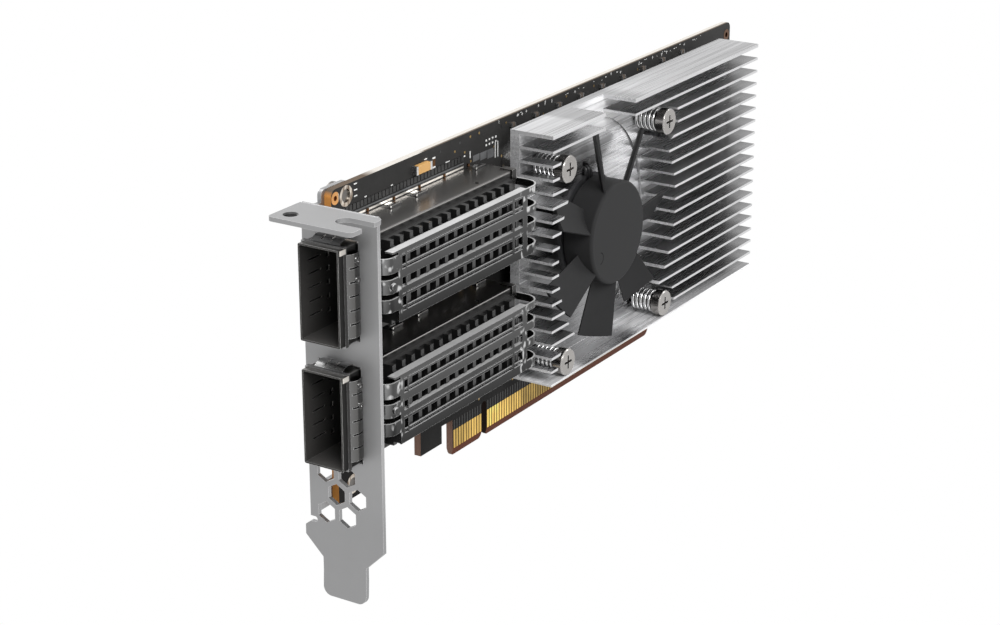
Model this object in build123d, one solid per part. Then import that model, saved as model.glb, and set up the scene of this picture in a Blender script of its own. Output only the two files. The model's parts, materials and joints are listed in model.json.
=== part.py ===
from build123d import *
import os
from math import cos, radians, sin, sqrt

os.makedirs("parts", exist_ok=True)

# A low-profile network interface card, in millimetres. It stands as it does in a slot:
# +X runs from the bracket to the far end, +Z is up, and the component side faces -Y.
# The origin is the middle of the key notch, on the board's component face, at the bottom
# of the edge contacts.

# Circuit board
board_thickness = 1.57
board_length = 162.8
board_top = 68.9
board_corner_radius = 1.5
board_shoulder = 11.9       # height of the bottom edge away from the contacts
heel_bottom = 4.35          # height of the foot under the bracket end and of the guard tab
heel_length = 8.6
guard_tab_left = -24.0
guard_tab_right = -16.2
guard_slot_top = 8.25

# Edge contacts
key_width = 1.9
key_height = 8.25
short_edge_left = -12.15
long_edge_right = 72.15
edge_bevel_height = 1.5
edge_bevel_depth = 0.45
edge_corner_radius = 0.8
contact_pitch = 1.0
contact_width = 0.7
contact_bottom = 1.7
contact_top = 5.8
contact_thickness = 0.05
contact_margin = 1.5        # from the middle of the key notch to the first contact each way

# Bracket
bracket_face = -57.15       # outer face of the upright plate
bracket_sheet = 0.9
bracket_board_gap = 3.95    # from the plate's inner face to the board's end
plate_back = 3.35
plate_front = -13.9
plate_top = 67.5
plate_bend_radius = 0.5
flange_reach = 10.1
flange_back = 3.5
flange_front = -15.4
flange_corner_radius = 1.0
flange_inner_corner_radius = 1.2
flange_hole_x = -64.1
flange_hole_y = 0.4
flange_hole_radius = 1.2
flange_countersink_radius = 1.5
flange_slot_x = -62.0
flange_slot_width = 3.9
flange_slot_end = -8.5
relief_top = 3.55
relief_bottom = 2.4
relief_depth = 1.6
hook_back = 4.65
hook_top = 1.4
hook_bottom = -0.7
shoulder_bottom = -0.55
tongue_back = 0.58
tongue_front = -9.67
tongue_shoulder_z = -4.7
tongue_bend_z = -7.5
tongue_bottom = -12.7
tongue_radius = 1.9
tongue_bend_angle = 3.0
vent_flats = 3.9
vent_column_pitch = 5.0
vent_row_pitch = 4.3
vent_first_y = -0.55
vent_first_z = 5.2
ear_length = 11.5
ear_height = 5.6
ear_rise = 2.4              # the upper ear's rise above the plate, once past it
ear_rise_start = 3.0
ear_screw_x = -47.6
upper_ear_z = 66.7
lower_ear_z = 7.4
ear_screw_radius = 1.2
ear_screw_clearance = 0.12
ear_head_radius = 2.3
ear_head_height = 1.3

# Ports: a sheet cage each, with a spring collar at the bracket
port_width = 19.2           # across, which is upright here
port_height = 9.2           # off the board
port_sheet = 0.35
port_reach = 5.75           # how far the cage stands out of the bracket
cage_length = 60.6
lower_port_z = 27.3
port_pitch = 24.9
collar_sheet = 0.2
collar_bulge = 1.0
collar_front_gap = 2.0      # from the cage's mouth to the start of the spring fingers
collar_band = 0.7           # the band that joins the fingers, around the cage
collar_end_height = 0.6     # the fingers' height where they press on the plate
collar_corner_gap = 1.4
collar_slit = 0.32
collar_side_slits = 5
collar_end_slits = 2
collar_opening_gap = 0.12
dimple_radius = 0.62
dimple_height = 0.3
dimple_x = -58.5
dimple_heights = [2.9, 6.8]
mouth_slits = 5
mouth_slit_pitch = 2.75
mouth_slit_start = 2.5
mouth_slit_length = 4.0
mouth_window_start = 8.1
mouth_window_size = 1.0
mouth_recess_depth = 0.2
latch_slots = [28.0, 36.8, 58.1]    # from the cage's mouth to the middle of each slot
latch_slot_length = 2.2
latch_slot_near = -1.2
latch_slot_far = -2.6
vent_hole_from_back = 11.95
vent_hole_y = -7.7
vent_hole_radius = 0.5
corner_tab_length = 1.5
corner_tab_drop = 2.3
corner_tab_depth = 3.0
corner_tab_sheet = 0.3
sink_window_margin_x = 6.0
sink_window_margin_z = 3.0

# Port connector inside each cage
connector_length = 10.0
connector_gap = 0.3
connector_side_gap = 0.8
card_slot_height = 1.3
card_slot_width = 15.6
card_slot_depth = 6.0
port_contact_pitch = 0.8
port_contact_count = 19
port_contact_width = 0.35
port_contact_height = 0.3

# Riding heat sink and ladder clip on each cage
rider_base = 0.9
rider_left_margin = 13.1    # from the cage's mouth to the first fin
rider_right_margin = 2.2
rider_side_margin = 1.35    # from the cage's edge to the ends of the fins
rider_fin_pitch = 3.2
rider_fin_thickness = 1.1
rider_fin_depth = 2.95
rider_shoulder_drop = 1.5   # how much lower the fins' ends are, outside the clip's rails
rider_pedestal_depth = 0.3
rider_slot_gap = 0.15
clip_sheet = 0.35
clip_gap = 0.3              # between the fin tips and the clip's back
clip_left_margin = 12.6     # from the cage's mouth to the ladder
clip_right_margin = 2.5
clip_end_width = 1.2
clip_far_width = 1.7
clip_post_width = 0.8
clip_near_post = 2.4        # from each end of the ladder to its inner post
clip_far_post = 4.8
clip_groove_height = 0.25
clip_groove_depth = 0.15
clip_slot_height = 0.5
clip_flange_overhang = 1.8  # how far the top rail's flange runs past the ladder
clip_left_arm_radius = 2.4
clip_left_arm_reach = 3.9
clip_right_arm_radius = 3.4
clip_right_arm_reach = 5.7
clip_arm_height = 1.9       # the right arms' height
clip_arm_tip_share = 0.55   # where the far arms meet the cage's rear wall
clip_foot_length = 2.0
clip_rivet_radius = 0.75
# Each rail's top above the middle of the cage, its height, its flange's depth, and whether
# a slot runs right under its top edge
clip_rails = [
    (6.95, 1.5, 1.75, False),
    (3.7, 2.45, clip_sheet, True),
    (-0.7, 1.85, 1.0, False),
    (-4.55, 2.75, clip_sheet, True),
]
# Each left arm's top above the middle of the cage, and its height
clip_left_arms = [(5.95, 3.1), (1.7, 2.75), (-2.2, 2.55)]

# Main heat sink
sink_gap = 7.4              # from the cages' rear walls
sink_length = 93.2
sink_bottom = 12.6
sink_height = 55.0
sink_standoff = 3.4         # from the board to the base plate
sink_base = 2.2
sink_fin_depth = 8.1
sink_fin_pitch = 3.0
sink_fin_thickness = 0.55
sink_top_fin_thickness = 0.8
sink_bottom_fin_thickness = 0.45
sink_recess_radius = 24.3
sink_recess_depth = 0.4
lead_notch_left = 21.4      # from the heat sink's left end
lead_notch_width = 12.9
lead_notch_fins = 2
screw_from_left = 6.85
screw_from_bottom = 3.5
screw_spacing_x = 43.1
screw_spacing_z = 42.8
screw_pocket_radius = 4.2

# Spring screws
screw_head_radius = 2.95
screw_head_height = 2.1
screw_neck_radius = 1.65
screw_neck_height = 2.4
screw_shank_radius = 1.25
screw_hole_gap = 0.35
screw_recess_depth = 1.0
screw_recess_length = 3.0
screw_recess_width = 0.55
spring_wire_radius = 0.42
spring_outer_radius = 2.65
spring_turns = 5.0
nut_radius = 2.4
nut_height = 1.6
standoff_radius = 5.3

# Controller under the heat sink
substrate_size = 27.0
substrate_thickness = 1.1
lid_size = 22.0
pad_thickness = 0.3
pad_size = 20.0

# Fan
fan_from_left = 28.1
fan_from_bottom = 26.5
blade_tip_radius = 23.6
blade_bore_gap = 1.9        # between the blade tips and the fins
hub_radius = 11.5
hub_wall = 1.1
hub_front_setback = 0.25    # the hub's face behind the fin tips
hub_rear_gap = 0.6          # between the rotor and the motor base
hub_edge_radius = 0.7
blade_count = 7
blade_first_angle = 0.8
blade_front_setback = 0.55
blade_tip_depth = 4.3
blade_root_depth = 3.2
blade_tip_lead = 8.8        # degrees from the blade's middle to its front edge
blade_tip_trail = 9.5
blade_root_lead = 13.5
blade_root_trail = 13.5
blade_thickness = 0.8
blade_camber = 0.5
shaft_radius = 0.9
shaft_running_gap = 0.03
shaft_end_gap = 0.06
shaft_boss_radius = 2.2
shaft_boss_height = 1.0
bearing_wall = 1.1
bearing_top_gap = 0.5
bearing_tube_wall = 0.6
motor_base_radius = 12.2
motor_base_thickness = 0.8
motor_floor = 0.5
motor_board_radius = 8.6
motor_board_thickness = 0.5
magnet_thickness = 1.0
yoke_thickness = 0.6
rotor_ring_rear_gap = 0.5
rotor_ring_front_gap = 0.6
magnet_air_gap = 0.5
stator_poles = 4
stator_core_radius = 4.0
stator_arm_width = 2.4
stator_shoe_depth = 0.8
stator_shoe_angle = 66.0
stator_thickness = 2.4
stator_board_gap = 0.9
winding_build = 0.6
winding_gap = 0.15
lead_radius = 0.39
lead_pitch = 1.05
lead_count = 3
lead_outside = 1.5          # length of lead seen past the motor base
lead_bend_radius = 0.8
lead_slot_gap = 0.15

# Small parts on the board
header_length = 6.0
header_width = 2.6
header_board_gap = 0.2
power_from_left = 74.0
power_from_bottom = 27.0
inductor_count = 4
inductor_pitch = 10.5
inductor_size = 6.5
inductor_height = 2.9
stage_gap = 0.8
stage_size = 5.0
stage_height = 0.8
bulk_width = 5.0
bulk_height = 3.4
bulk_rise = 1.9
ceramic_length = 1.6
ceramic_width = 0.8
ceramic_rise = 0.7
strip_from_top = 2.6
memory_from_right = 6.2
memory_from_bottom = 14.0
memory_width = 5.2
memory_height = 5.4
memory_rise = 1.7
input_capacitor_x = -22.9
clock_from_power = 13.4
back_chip_offset = 14.0
plated_ring_wall = 0.75
plated_lining = 0.1
plated_lip = 0.05

# Places worked out from the sizes above
board_left = bracket_face + bracket_sheet + bracket_board_gap
board_right = board_left + board_length
plate_inner = bracket_face + bracket_sheet
cage_front = bracket_face - port_reach
cage_back = cage_front + cage_length
sink_left = cage_back + sink_gap
sink_right = sink_left + sink_length
sink_top = sink_bottom + sink_height
base_rear = -sink_standoff
base_front = base_rear - sink_base
fin_front = base_front - sink_fin_depth
fan_x = sink_left + fan_from_left
fan_z = sink_bottom + fan_from_bottom
bore_radius = blade_tip_radius + blade_bore_gap
screw_places = [
    (
        sink_left + screw_from_left + column * screw_spacing_x,
        sink_bottom + screw_from_bottom + row * screw_spacing_z,
    )
    for column in (0, 1)
    for row in (0, 1)
]
screw_hole_radius = screw_shank_radius + screw_hole_gap
ear_hole_radius = ear_screw_radius + ear_screw_clearance
recess_floor = base_front + sink_recess_depth
motor_base_front = recess_floor - motor_base_thickness
hub_front = fin_front + hub_front_setback
hub_rear = motor_base_front - hub_rear_gap
hub_inner_front = hub_front + hub_wall
hub_inner_radius = hub_radius - hub_wall
boss_rear = hub_inner_front + shaft_boss_height
bearing_front = boss_rear + bearing_top_gap
bearing_radius = shaft_radius + shaft_running_gap + bearing_wall
bearing_tube_radius = bearing_radius + bearing_tube_wall
bearing_rear = recess_floor - motor_floor
yoke_inner_radius = hub_inner_radius - yoke_thickness
magnet_inner_radius = yoke_inner_radius - magnet_thickness
stator_radius = magnet_inner_radius - magnet_air_gap
motor_board_front = motor_base_front - motor_board_thickness
stator_rear = motor_board_front - stator_board_gap
stator_front = stator_rear - stator_thickness
rider_rear = -port_height
rider_fin_root = rider_rear - rider_base
rider_fin_tip = rider_fin_root - rider_fin_depth
clip_front = rider_fin_tip - clip_gap - clip_sheet


def block(x0, x1, y0, y1, z0, z1):
    """A box between two corners."""
    size = Box(abs(x1 - x0), abs(y1 - y0), abs(z1 - z0))
    return Pos((x0 + x1) / 2, (y0 + y1) / 2, (z0 + z1) / 2) * size


def post(x, z, radius, y0, y1):
    """A round bar across the board, between two depths."""
    bar = Cylinder(radius, abs(y1 - y0))
    return Pos(x, (y0 + y1) / 2, z) * Rot(90, 0, 0) * bar


def tube(x, z, outer, inner, y0, y1):
    """A ring or sleeve across the board."""
    return post(x, z, outer, y0, y1) - post(x, z, inner, min(y0, y1) - 1, max(y0, y1) + 1)


def sheet_xz(points, y0, y1):
    """A flat shape in the board's plane, drawn by X and Z."""
    outline = Face(Wire.make_polygon([(x, y0, z) for x, z in points]))
    return extrude(outline, amount=y1 - y0, dir=(0, 1, 0))


def sheet_yz(points, x0, x1):
    """A flat shape in the bracket's plane, drawn by Y and Z."""
    outline = Face(Wire.make_polygon([(x0, y, z) for y, z in points]))
    return extrude(outline, amount=x1 - x0, dir=(1, 0, 0))


def edges_near(shape, axis, places, index_pair, reach=0.05):
    """Edges along an axis whose middles stand at the given pairs of coordinates."""
    first, second = index_pair
    found = []
    for edge in shape.edges().filter_by(axis):
        middle = tuple(edge.center())
        if any(abs(middle[first] - a) < reach and abs(middle[second] - b) < reach for a, b in places):
            found.append(edge)
    return found


def round_xz(shape, places, radius):
    """Rounds the corners of a board-plane shape at the given X, Z places."""
    return fillet(edges_near(shape, Axis.Y, places, (0, 2)), radius)


def round_yz(shape, places, radius):
    """Rounds the corners of a bracket-plane shape at the given Y, Z places."""
    return fillet(edges_near(shape, Axis.X, places, (1, 2)), radius)


def turned(shape, angle):
    """Turns a shape about the fan's axis, from +X towards +Z."""
    centre = Pos(fan_x, 0, fan_z)
    return centre * Rot(0, -angle, 0) * centre.inverse() * shape


def save(node, shape):
    export_step(shape, os.path.join("parts", node + ".step"))


# Circuit board

# Each plated hole's X, Z and radius, and whether the bracket covers its back
plated_places = [
    (board_left + 1.3, board_top - 1.8, 0.5, True),
    (ear_screw_x, upper_ear_z, ear_hole_radius, True),
    (ear_screw_x, lower_ear_z, ear_hole_radius, True),
    (board_right - 1.9, board_top - 2.9, 0.6, False),
    (board_right - 4.6, board_shoulder + 4.2, 1.5, False),
]


def make_board():
    outline = [
        (board_left, board_top),
        (board_left, heel_bottom),
        (board_left + heel_length, heel_bottom),
        (board_left + heel_length, board_shoulder),
        (guard_tab_left, board_shoulder),
        (guard_tab_left, heel_bottom),
        (guard_tab_right, heel_bottom),
        (guard_tab_right, guard_slot_top),
        (short_edge_left, guard_slot_top),
        (short_edge_left, 0),
        (long_edge_right, 0),
        (long_edge_right, board_shoulder),
        (board_right, board_shoulder),
        (board_right, board_top),
    ]
    board = sheet_xz(outline, 0, board_thickness)
    half_key = key_width / 2
    board -= block(-half_key, half_key, -1, board_thickness + 1, -1, key_height - half_key)
    board -= post(0, key_height - half_key, half_key, -1, board_thickness + 1)
    board = round_xz(
        board,
        [(board_left, board_top), (board_right, board_top), (board_right, board_shoulder)],
        board_corner_radius,
    )
    bottom_corners = [(short_edge_left, 0), (-half_key, 0), (half_key, 0), (long_edge_right, 0)]
    board = round_xz(board, bottom_corners, edge_corner_radius)
    for face_y, inward in ((0, 1), (board_thickness, -1)):
        bevel = Face(Wire.make_polygon([
            (short_edge_left - 1, face_y - inward, -1),
            (short_edge_left - 1, face_y - inward, edge_bevel_height),
            (short_edge_left - 1, face_y, edge_bevel_height),
            (short_edge_left - 1, face_y + inward * edge_bevel_depth, 0),
            (short_edge_left - 1, face_y + inward * edge_bevel_depth, -1),
        ]))
        board -= extrude(bevel, amount=long_edge_right - short_edge_left + 2, dir=(1, 0, 0))
    for x, z, radius, _ in plated_places:
        board -= post(x, z, radius + plated_lining, -1, board_thickness + 1)
    for x, z in screw_places:
        board -= post(x, z, screw_hole_radius, -1, board_thickness + 1)
    return board


def make_contacts():
    left_count = int((-contact_margin - short_edge_left) / contact_pitch) + 1
    right_count = int((long_edge_right - contact_margin) / contact_pitch) + 1
    places = [-contact_margin - index * contact_pitch for index in range(left_count)]
    places += [contact_margin + index * contact_pitch for index in range(right_count)]
    pads = []
    for x in places:
        left = x - contact_width / 2
        right = x + contact_width / 2
        pads.append(block(left, right, -contact_thickness, 0, contact_bottom, contact_top))
        back = board_thickness
        pads.append(block(left, right, back, back + contact_thickness, contact_bottom, contact_top))
    return Compound(children=pads)


def make_plated_rings():
    rings = []
    for x, z, radius, covered in plated_places:
        ring = post(x, z, radius + plated_lining, 0, board_thickness)
        ring += post(x, z, radius + plated_ring_wall, -plated_lip, 0)
        if not covered:
            ring += post(x, z, radius + plated_ring_wall, board_thickness, board_thickness + plated_lip)
        rings.append(ring - post(x, z, radius, -1, board_thickness + 1))
    return Compound(children=rings)


save("circuit_board", make_board())
save("gold_contacts", make_contacts())
save("plated_hole_rings", make_plated_rings())


# Bracket

port_centres = {"lower": lower_port_z, "upper": lower_port_z + port_pitch}
collar_outset = collar_sheet + collar_opening_gap


def hexagon_vent(y, z):
    """A vent with two upright flats, cut through the plate."""
    across_points = vent_flats / cos(radians(30)) / 2
    corners = [
        (y + across_points * cos(radians(90 + 60 * k)), z + across_points * sin(radians(90 + 60 * k)))
        for k in range(6)
    ]
    return sheet_yz(corners, bracket_face - 1, plate_inner + 1)


def make_bracket():
    outline = [
        (plate_front, plate_top - plate_bend_radius),
        (plate_back, plate_top - plate_bend_radius),
        (plate_back, relief_top),
        (plate_back - relief_depth, relief_top),
        (plate_back - relief_depth, relief_bottom),
        (plate_back, relief_bottom),
        (hook_back, hook_top),
        (hook_back, hook_bottom),
        (tongue_back, tongue_shoulder_z),
        (tongue_back, tongue_bend_z),
        (tongue_front, tongue_bend_z),
        (tongue_front, tongue_shoulder_z),
        (plate_front, shoulder_bottom),
    ]
    plate = sheet_yz(outline, bracket_face, plate_inner)
    plate = round_yz(plate, [(hook_back, hook_top), (hook_back, hook_bottom)], 0.4)
    relief_corners = [(plate_back - relief_depth, relief_top), (plate_back - relief_depth, relief_bottom)]
    plate = round_yz(plate, relief_corners, (relief_top - relief_bottom) * 0.45)

    tongue = sheet_yz(
        [
            (tongue_back, tongue_bend_z + 0.2),
            (tongue_back, tongue_bottom),
            (tongue_front, tongue_bottom),
            (tongue_front, tongue_bend_z + 0.2),
        ],
        bracket_face,
        plate_inner,
    )
    tongue = round_yz(tongue, [(tongue_back, tongue_bottom), (tongue_front, tongue_bottom)], tongue_radius)
    hinge = Pos(plate_inner, 0, tongue_bend_z)
    plate += hinge * Rot(0, tongue_bend_angle, 0) * hinge.inverse() * tongue

    # The top flange, folded outwards over a quarter-round bend
    flange_end = bracket_face - flange_reach
    flange_under = plate_top - bracket_sheet
    flange = block(flange_end, bracket_face, flange_back, flange_front, flange_under, plate_top)
    outer_corners = [(flange_end, flange_back), (flange_end, flange_front)]
    flange = fillet(edges_near(flange, Axis.Z, outer_corners, (0, 1)), flange_corner_radius)
    inner_corner = [(bracket_face, flange_front)]
    flange = fillet(edges_near(flange, Axis.Z, inner_corner, (0, 1)), flange_inner_corner_radius)
    bend_depth = plate_back - plate_front
    bend_middle = (plate_back + plate_front) / 2
    bend_low = plate_top - plate_bend_radius
    bend = Pos(plate_inner - plate_bend_radius, bend_middle, bend_low) * (
        Rot(90, 0, 0) * Cylinder(plate_bend_radius, bend_depth)
    )
    bend &= block(bracket_face, plate_inner, plate_back, plate_front, bend_low, plate_top)
    plate += bend
    plate += flange
    plate -= Pos(flange_hole_x, flange_hole_y, plate_top) * Cylinder(flange_hole_radius, 3)
    countersink_depth = flange_countersink_radius - flange_hole_radius
    plate -= Pos(flange_hole_x, flange_hole_y, plate_top - countersink_depth / 2) * Cone(
        flange_hole_radius, flange_countersink_radius, countersink_depth
    )
    slot_half = flange_slot_width / 2
    slot_centre_y = flange_slot_end - slot_half
    plate -= Pos(flange_slot_x, slot_centre_y, plate_top) * Cylinder(slot_half, 4)
    plate -= block(
        flange_slot_x - slot_half, flange_slot_x + slot_half, slot_centre_y, flange_front - 1,
        plate_top - 2, plate_top + 1,
    )

    # Two ears lie on the back of the board and take its screws
    ear_rear = board_thickness + bracket_sheet
    ear_end = plate_inner + ear_length
    for ear_z in (upper_ear_z, lower_ear_z):
        high = min(ear_z + ear_height / 2, plate_top - bracket_sheet)
        ear = block(plate_inner, ear_end, board_thickness, ear_rear, high - ear_height, high)
        corners = [(ear_end, high - ear_height)]
        if ear_z == upper_ear_z:
            high += ear_rise
            raised = plate_inner + ear_rise_start
            ear += block(raised, ear_end, board_thickness, ear_rear, high - ear_height, high)
            corners.append((raised, high))
        corners.append((ear_end, high))
        ear = round_xz(ear, corners, 1.2)
        plate += ear - post(ear_screw_x, ear_z, ear_hole_radius, 0, ear_rear + 1)

    for z in port_centres.values():
        half = port_width / 2 + collar_outset
        plate -= block(
            bracket_face - 1, plate_inner + 1, collar_outset, -port_height - collar_outset, z - half, z + half
        )
    for row in range(3):
        shift = -vent_column_pitch / 2 if row == 1 else 0
        for column in range(2):
            y = vent_first_y + shift - column * vent_column_pitch
            plate -= hexagon_vent(y, vent_first_z + row * vent_row_pitch)
    return plate


def make_bracket_screws():
    ear_rear = board_thickness + bracket_sheet
    screws = []
    for z in (upper_ear_z, lower_ear_z):
        screw = post(ear_screw_x, z, ear_screw_radius, board_thickness * 0.2, ear_rear)
        head = post(ear_screw_x, z, ear_head_radius, ear_rear, ear_rear + ear_head_height)
        head = chamfer(head.edges().group_by(Axis.Y)[-1], ear_head_height * 0.3)
        screw += head
        top = ear_rear + ear_head_height
        arm = ear_head_radius * 0.55
        for cross in ((arm, 0.3), (0.3, arm)):
            screw -= block(
                ear_screw_x - cross[0], ear_screw_x + cross[0], top - 0.7, top + 1, z - cross[1], z + cross[1]
            )
        screws.append(screw)
    return Compound(children=screws)


save("bracket", make_bracket())
save("bracket_screws", make_bracket_screws())


# Port cages and their spring collars

rider_left = cage_front + rider_left_margin
rider_right = cage_back - rider_right_margin
window_left = rider_left + sink_window_margin_x
window_right = rider_right - sink_window_margin_x
window_half = port_width / 2 - rider_side_margin - sink_window_margin_z


def make_cage(z):
    half = port_width / 2
    cage = block(cage_front, cage_back, 0, -port_height, z - half, z + half)
    cage = fillet(cage.edges().filter_by(Axis.X), port_sheet)
    cage -= block(
        cage_front - 1, cage_back - port_sheet, -port_sheet, port_sheet - port_height,
        z - half + port_sheet, z + half - port_sheet,
    )
    cage -= block(
        window_left, window_right, -port_height - 1, port_sheet - port_height + 0.1,
        z - window_half, z + window_half,
    )
    # Pressed slits and windows on the wall by the board, seen through the mouth
    slit_start = cage_front + mouth_slit_start
    recess_rear = mouth_recess_depth - port_sheet
    for index in range(mouth_slits):
        slit_z = z + (index - (mouth_slits - 1) / 2) * mouth_slit_pitch
        cage -= block(
            slit_start, slit_start + mouth_slit_length, recess_rear, -port_sheet - 0.1,
            slit_z - collar_slit / 2, slit_z + collar_slit / 2,
        )
        window_start = cage_front + mouth_window_start
        cage -= block(
            window_start, window_start + mouth_window_size, recess_rear, -port_sheet - 0.1,
            slit_z - mouth_window_size, slit_z,
        )
    # Latch slots through the upper and lower walls, and a vent hole in the upper one
    for from_mouth in latch_slots:
        x = cage_front + from_mouth
        for side in (-1, 1):
            wall = z + side * half
            cage -= block(
                x - latch_slot_length / 2, x + latch_slot_length / 2, latch_slot_near, latch_slot_far,
                wall - port_sheet - 0.1, wall + port_sheet + 0.1,
            )
    cage -= Pos(cage_back - vent_hole_from_back, vent_hole_y, z + half) * Cylinder(vent_hole_radius, 2)
    # A tab folded over the upper corner at the rear
    tab_left = cage_back - corner_tab_length
    tab_front = -port_height - corner_tab_sheet
    tab_top = z + half + corner_tab_sheet
    cage += block(tab_left, cage_back, tab_front, -port_height, tab_top - corner_tab_drop, tab_top)
    cage += block(tab_left, cage_back, tab_front, tab_front + corner_tab_depth, z + half, tab_top)
    return cage


def finger_strip(length, slit_count, run):
    """One side of the collar, lying along +X with its bulge towards +Z, centred on Y."""
    low = collar_end_height - collar_sheet
    outer = ThreePointArc((0, 0, 0), (run / 2, 0, collar_bulge), (run, 0, collar_end_height))
    inner_start = collar_sheet * 1.6
    inner = ThreePointArc((run, 0, low), (run / 2, 0, collar_bulge - collar_sheet), (inner_start, 0, 0))
    profile = make_face([
        outer,
        Line((run, 0, collar_end_height), (run, 0, low)),
        inner,
        Line((inner_start, 0, 0), (0, 0, 0)),
    ])
    strip = extrude(profile, amount=length / 2, dir=(0, 1, 0), both=True)
    spacing = length / (slit_count + 1)
    for index in range(slit_count):
        y = (index - (slit_count - 1) / 2) * spacing
        strip -= block(run * 0.16, run + 1, y - collar_slit / 2, y + collar_slit / 2, 0.02, collar_bulge + 1)
    return strip


def make_collar(z):
    half = port_width / 2
    start = cage_front + collar_front_gap
    run = bracket_face - start
    collar = block(
        start - collar_band, start + collar_sheet * 1.6, collar_sheet, -port_height - collar_sheet,
        z - half - collar_sheet, z + half + collar_sheet,
    )
    collar -= block(start - 1, start + 1, 0, -port_height, z - half, z + half)
    side = finger_strip(port_width - 2 * collar_corner_gap, collar_side_slits, run)
    end_strip = finger_strip(port_height - 2 * collar_corner_gap, collar_end_slits, run)
    middle_y = -port_height / 2
    collar += Pos(start, -port_height, z) * Rot(90, 0, 0) * side
    collar += Pos(start, 0, z) * Rot(-90, 0, 0) * side
    collar += Pos(start, middle_y, z + half) * end_strip
    collar += Pos(start, middle_y, z - half) * Rot(180, 0, 0) * end_strip
    for height in dimple_heights:
        tip = -port_height - collar_bulge - dimple_height
        collar += post(dimple_x, z + height, dimple_radius, tip, -port_height - collar_bulge * 0.8)
        collar -= post(dimple_x, z + height, dimple_radius * 0.5, tip - 0.1, tip + 0.25)
    return collar


connector_rear = cage_back - port_sheet - connector_gap
connector_front = connector_rear - connector_length
connector_mid_y = -port_height / 2


def make_connector(z):
    half = port_width / 2 - port_sheet - connector_side_gap
    body = block(
        connector_front, connector_rear, -port_sheet, port_sheet - port_height + connector_side_gap,
        z - half, z + half,
    )
    body -= block(
        connector_front - 1, connector_front + card_slot_depth,
        connector_mid_y - card_slot_height / 2, connector_mid_y + card_slot_height / 2,
        z - card_slot_width / 2, z + card_slot_width / 2,
    )
    for index in range(port_contact_count):
        contact_z = z + (index - (port_contact_count - 1) / 2) * port_contact_pitch
        for side in (-1, 1):
            wall = connector_mid_y + side * card_slot_height / 2
            body -= block(
                connector_front - 1, connector_front + card_slot_depth,
                wall, wall + side * port_contact_height,
                contact_z - port_contact_width / 2, contact_z + port_contact_width / 2,
            )
    return body


def make_port_contacts(z):
    springs = []
    for index in range(port_contact_count):
        contact_z = z + (index - (port_contact_count - 1) / 2) * port_contact_pitch
        for side in (-1, 1):
            wall = connector_mid_y + side * (card_slot_height / 2 + port_contact_height)
            springs.append(block(
                connector_front + 0.5, connector_front + card_slot_depth,
                wall, wall - side * (port_contact_height + 0.1),
                contact_z - port_contact_width / 2, contact_z + port_contact_width / 2,
            ))
    return Compound(children=springs)


# Riding heat sink: a finned plate on the cage, with a pedestal through the cage's window

def make_rider(z):
    half = port_width / 2 - rider_side_margin
    sink = block(rider_left, rider_right, rider_rear, rider_fin_root, z - half, z + half)
    sink += block(
        window_left + rider_slot_gap, window_right - rider_slot_gap,
        rider_rear + port_sheet + rider_pedestal_depth, rider_rear,
        z - window_half + rider_slot_gap, z + window_half - rider_slot_gap,
    )
    top_rail = clip_rails[0][0] + rider_slot_gap
    low_rail = clip_rails[-1][0] - clip_rails[-1][1] - rider_slot_gap
    shoulder_tip = rider_fin_tip + rider_shoulder_drop
    count = int((rider_right - rider_left - rider_fin_thickness) / rider_fin_pitch) + 1
    for index in range(count):
        x = rider_left + index * rider_fin_pitch
        sink += block(x, x + rider_fin_thickness, rider_fin_root, shoulder_tip, z - half, z + half)
        sink += block(x, x + rider_fin_thickness, shoulder_tip, rider_fin_tip, z + low_rail, z + top_rail)
    # Grooves along the fins leave room for the rails' flanges
    for top, _, depth, _ in clip_rails:
        sink -= block(
            rider_left - 1, rider_right + 1, rider_fin_tip - 1, clip_front + depth + rider_slot_gap,
            z + top - clip_sheet - rider_slot_gap, z + top + rider_slot_gap,
        )
    return sink


# Ladder clip: four folded rails across the fins, posts, and sprung arms that reach the cage

def quarter_bend(x, y, radius, side, low, high):
    """A strip's quarter-round bend, from the clip's front back towards the board."""
    ring = Cylinder(radius, high - low) - Cylinder(radius - clip_sheet, high - low + 1)
    ring = Pos(x, y, (low + high) / 2) * ring
    return ring & block(x, x + side * (radius + 1), y, y - radius - 1, low, high)


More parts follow.
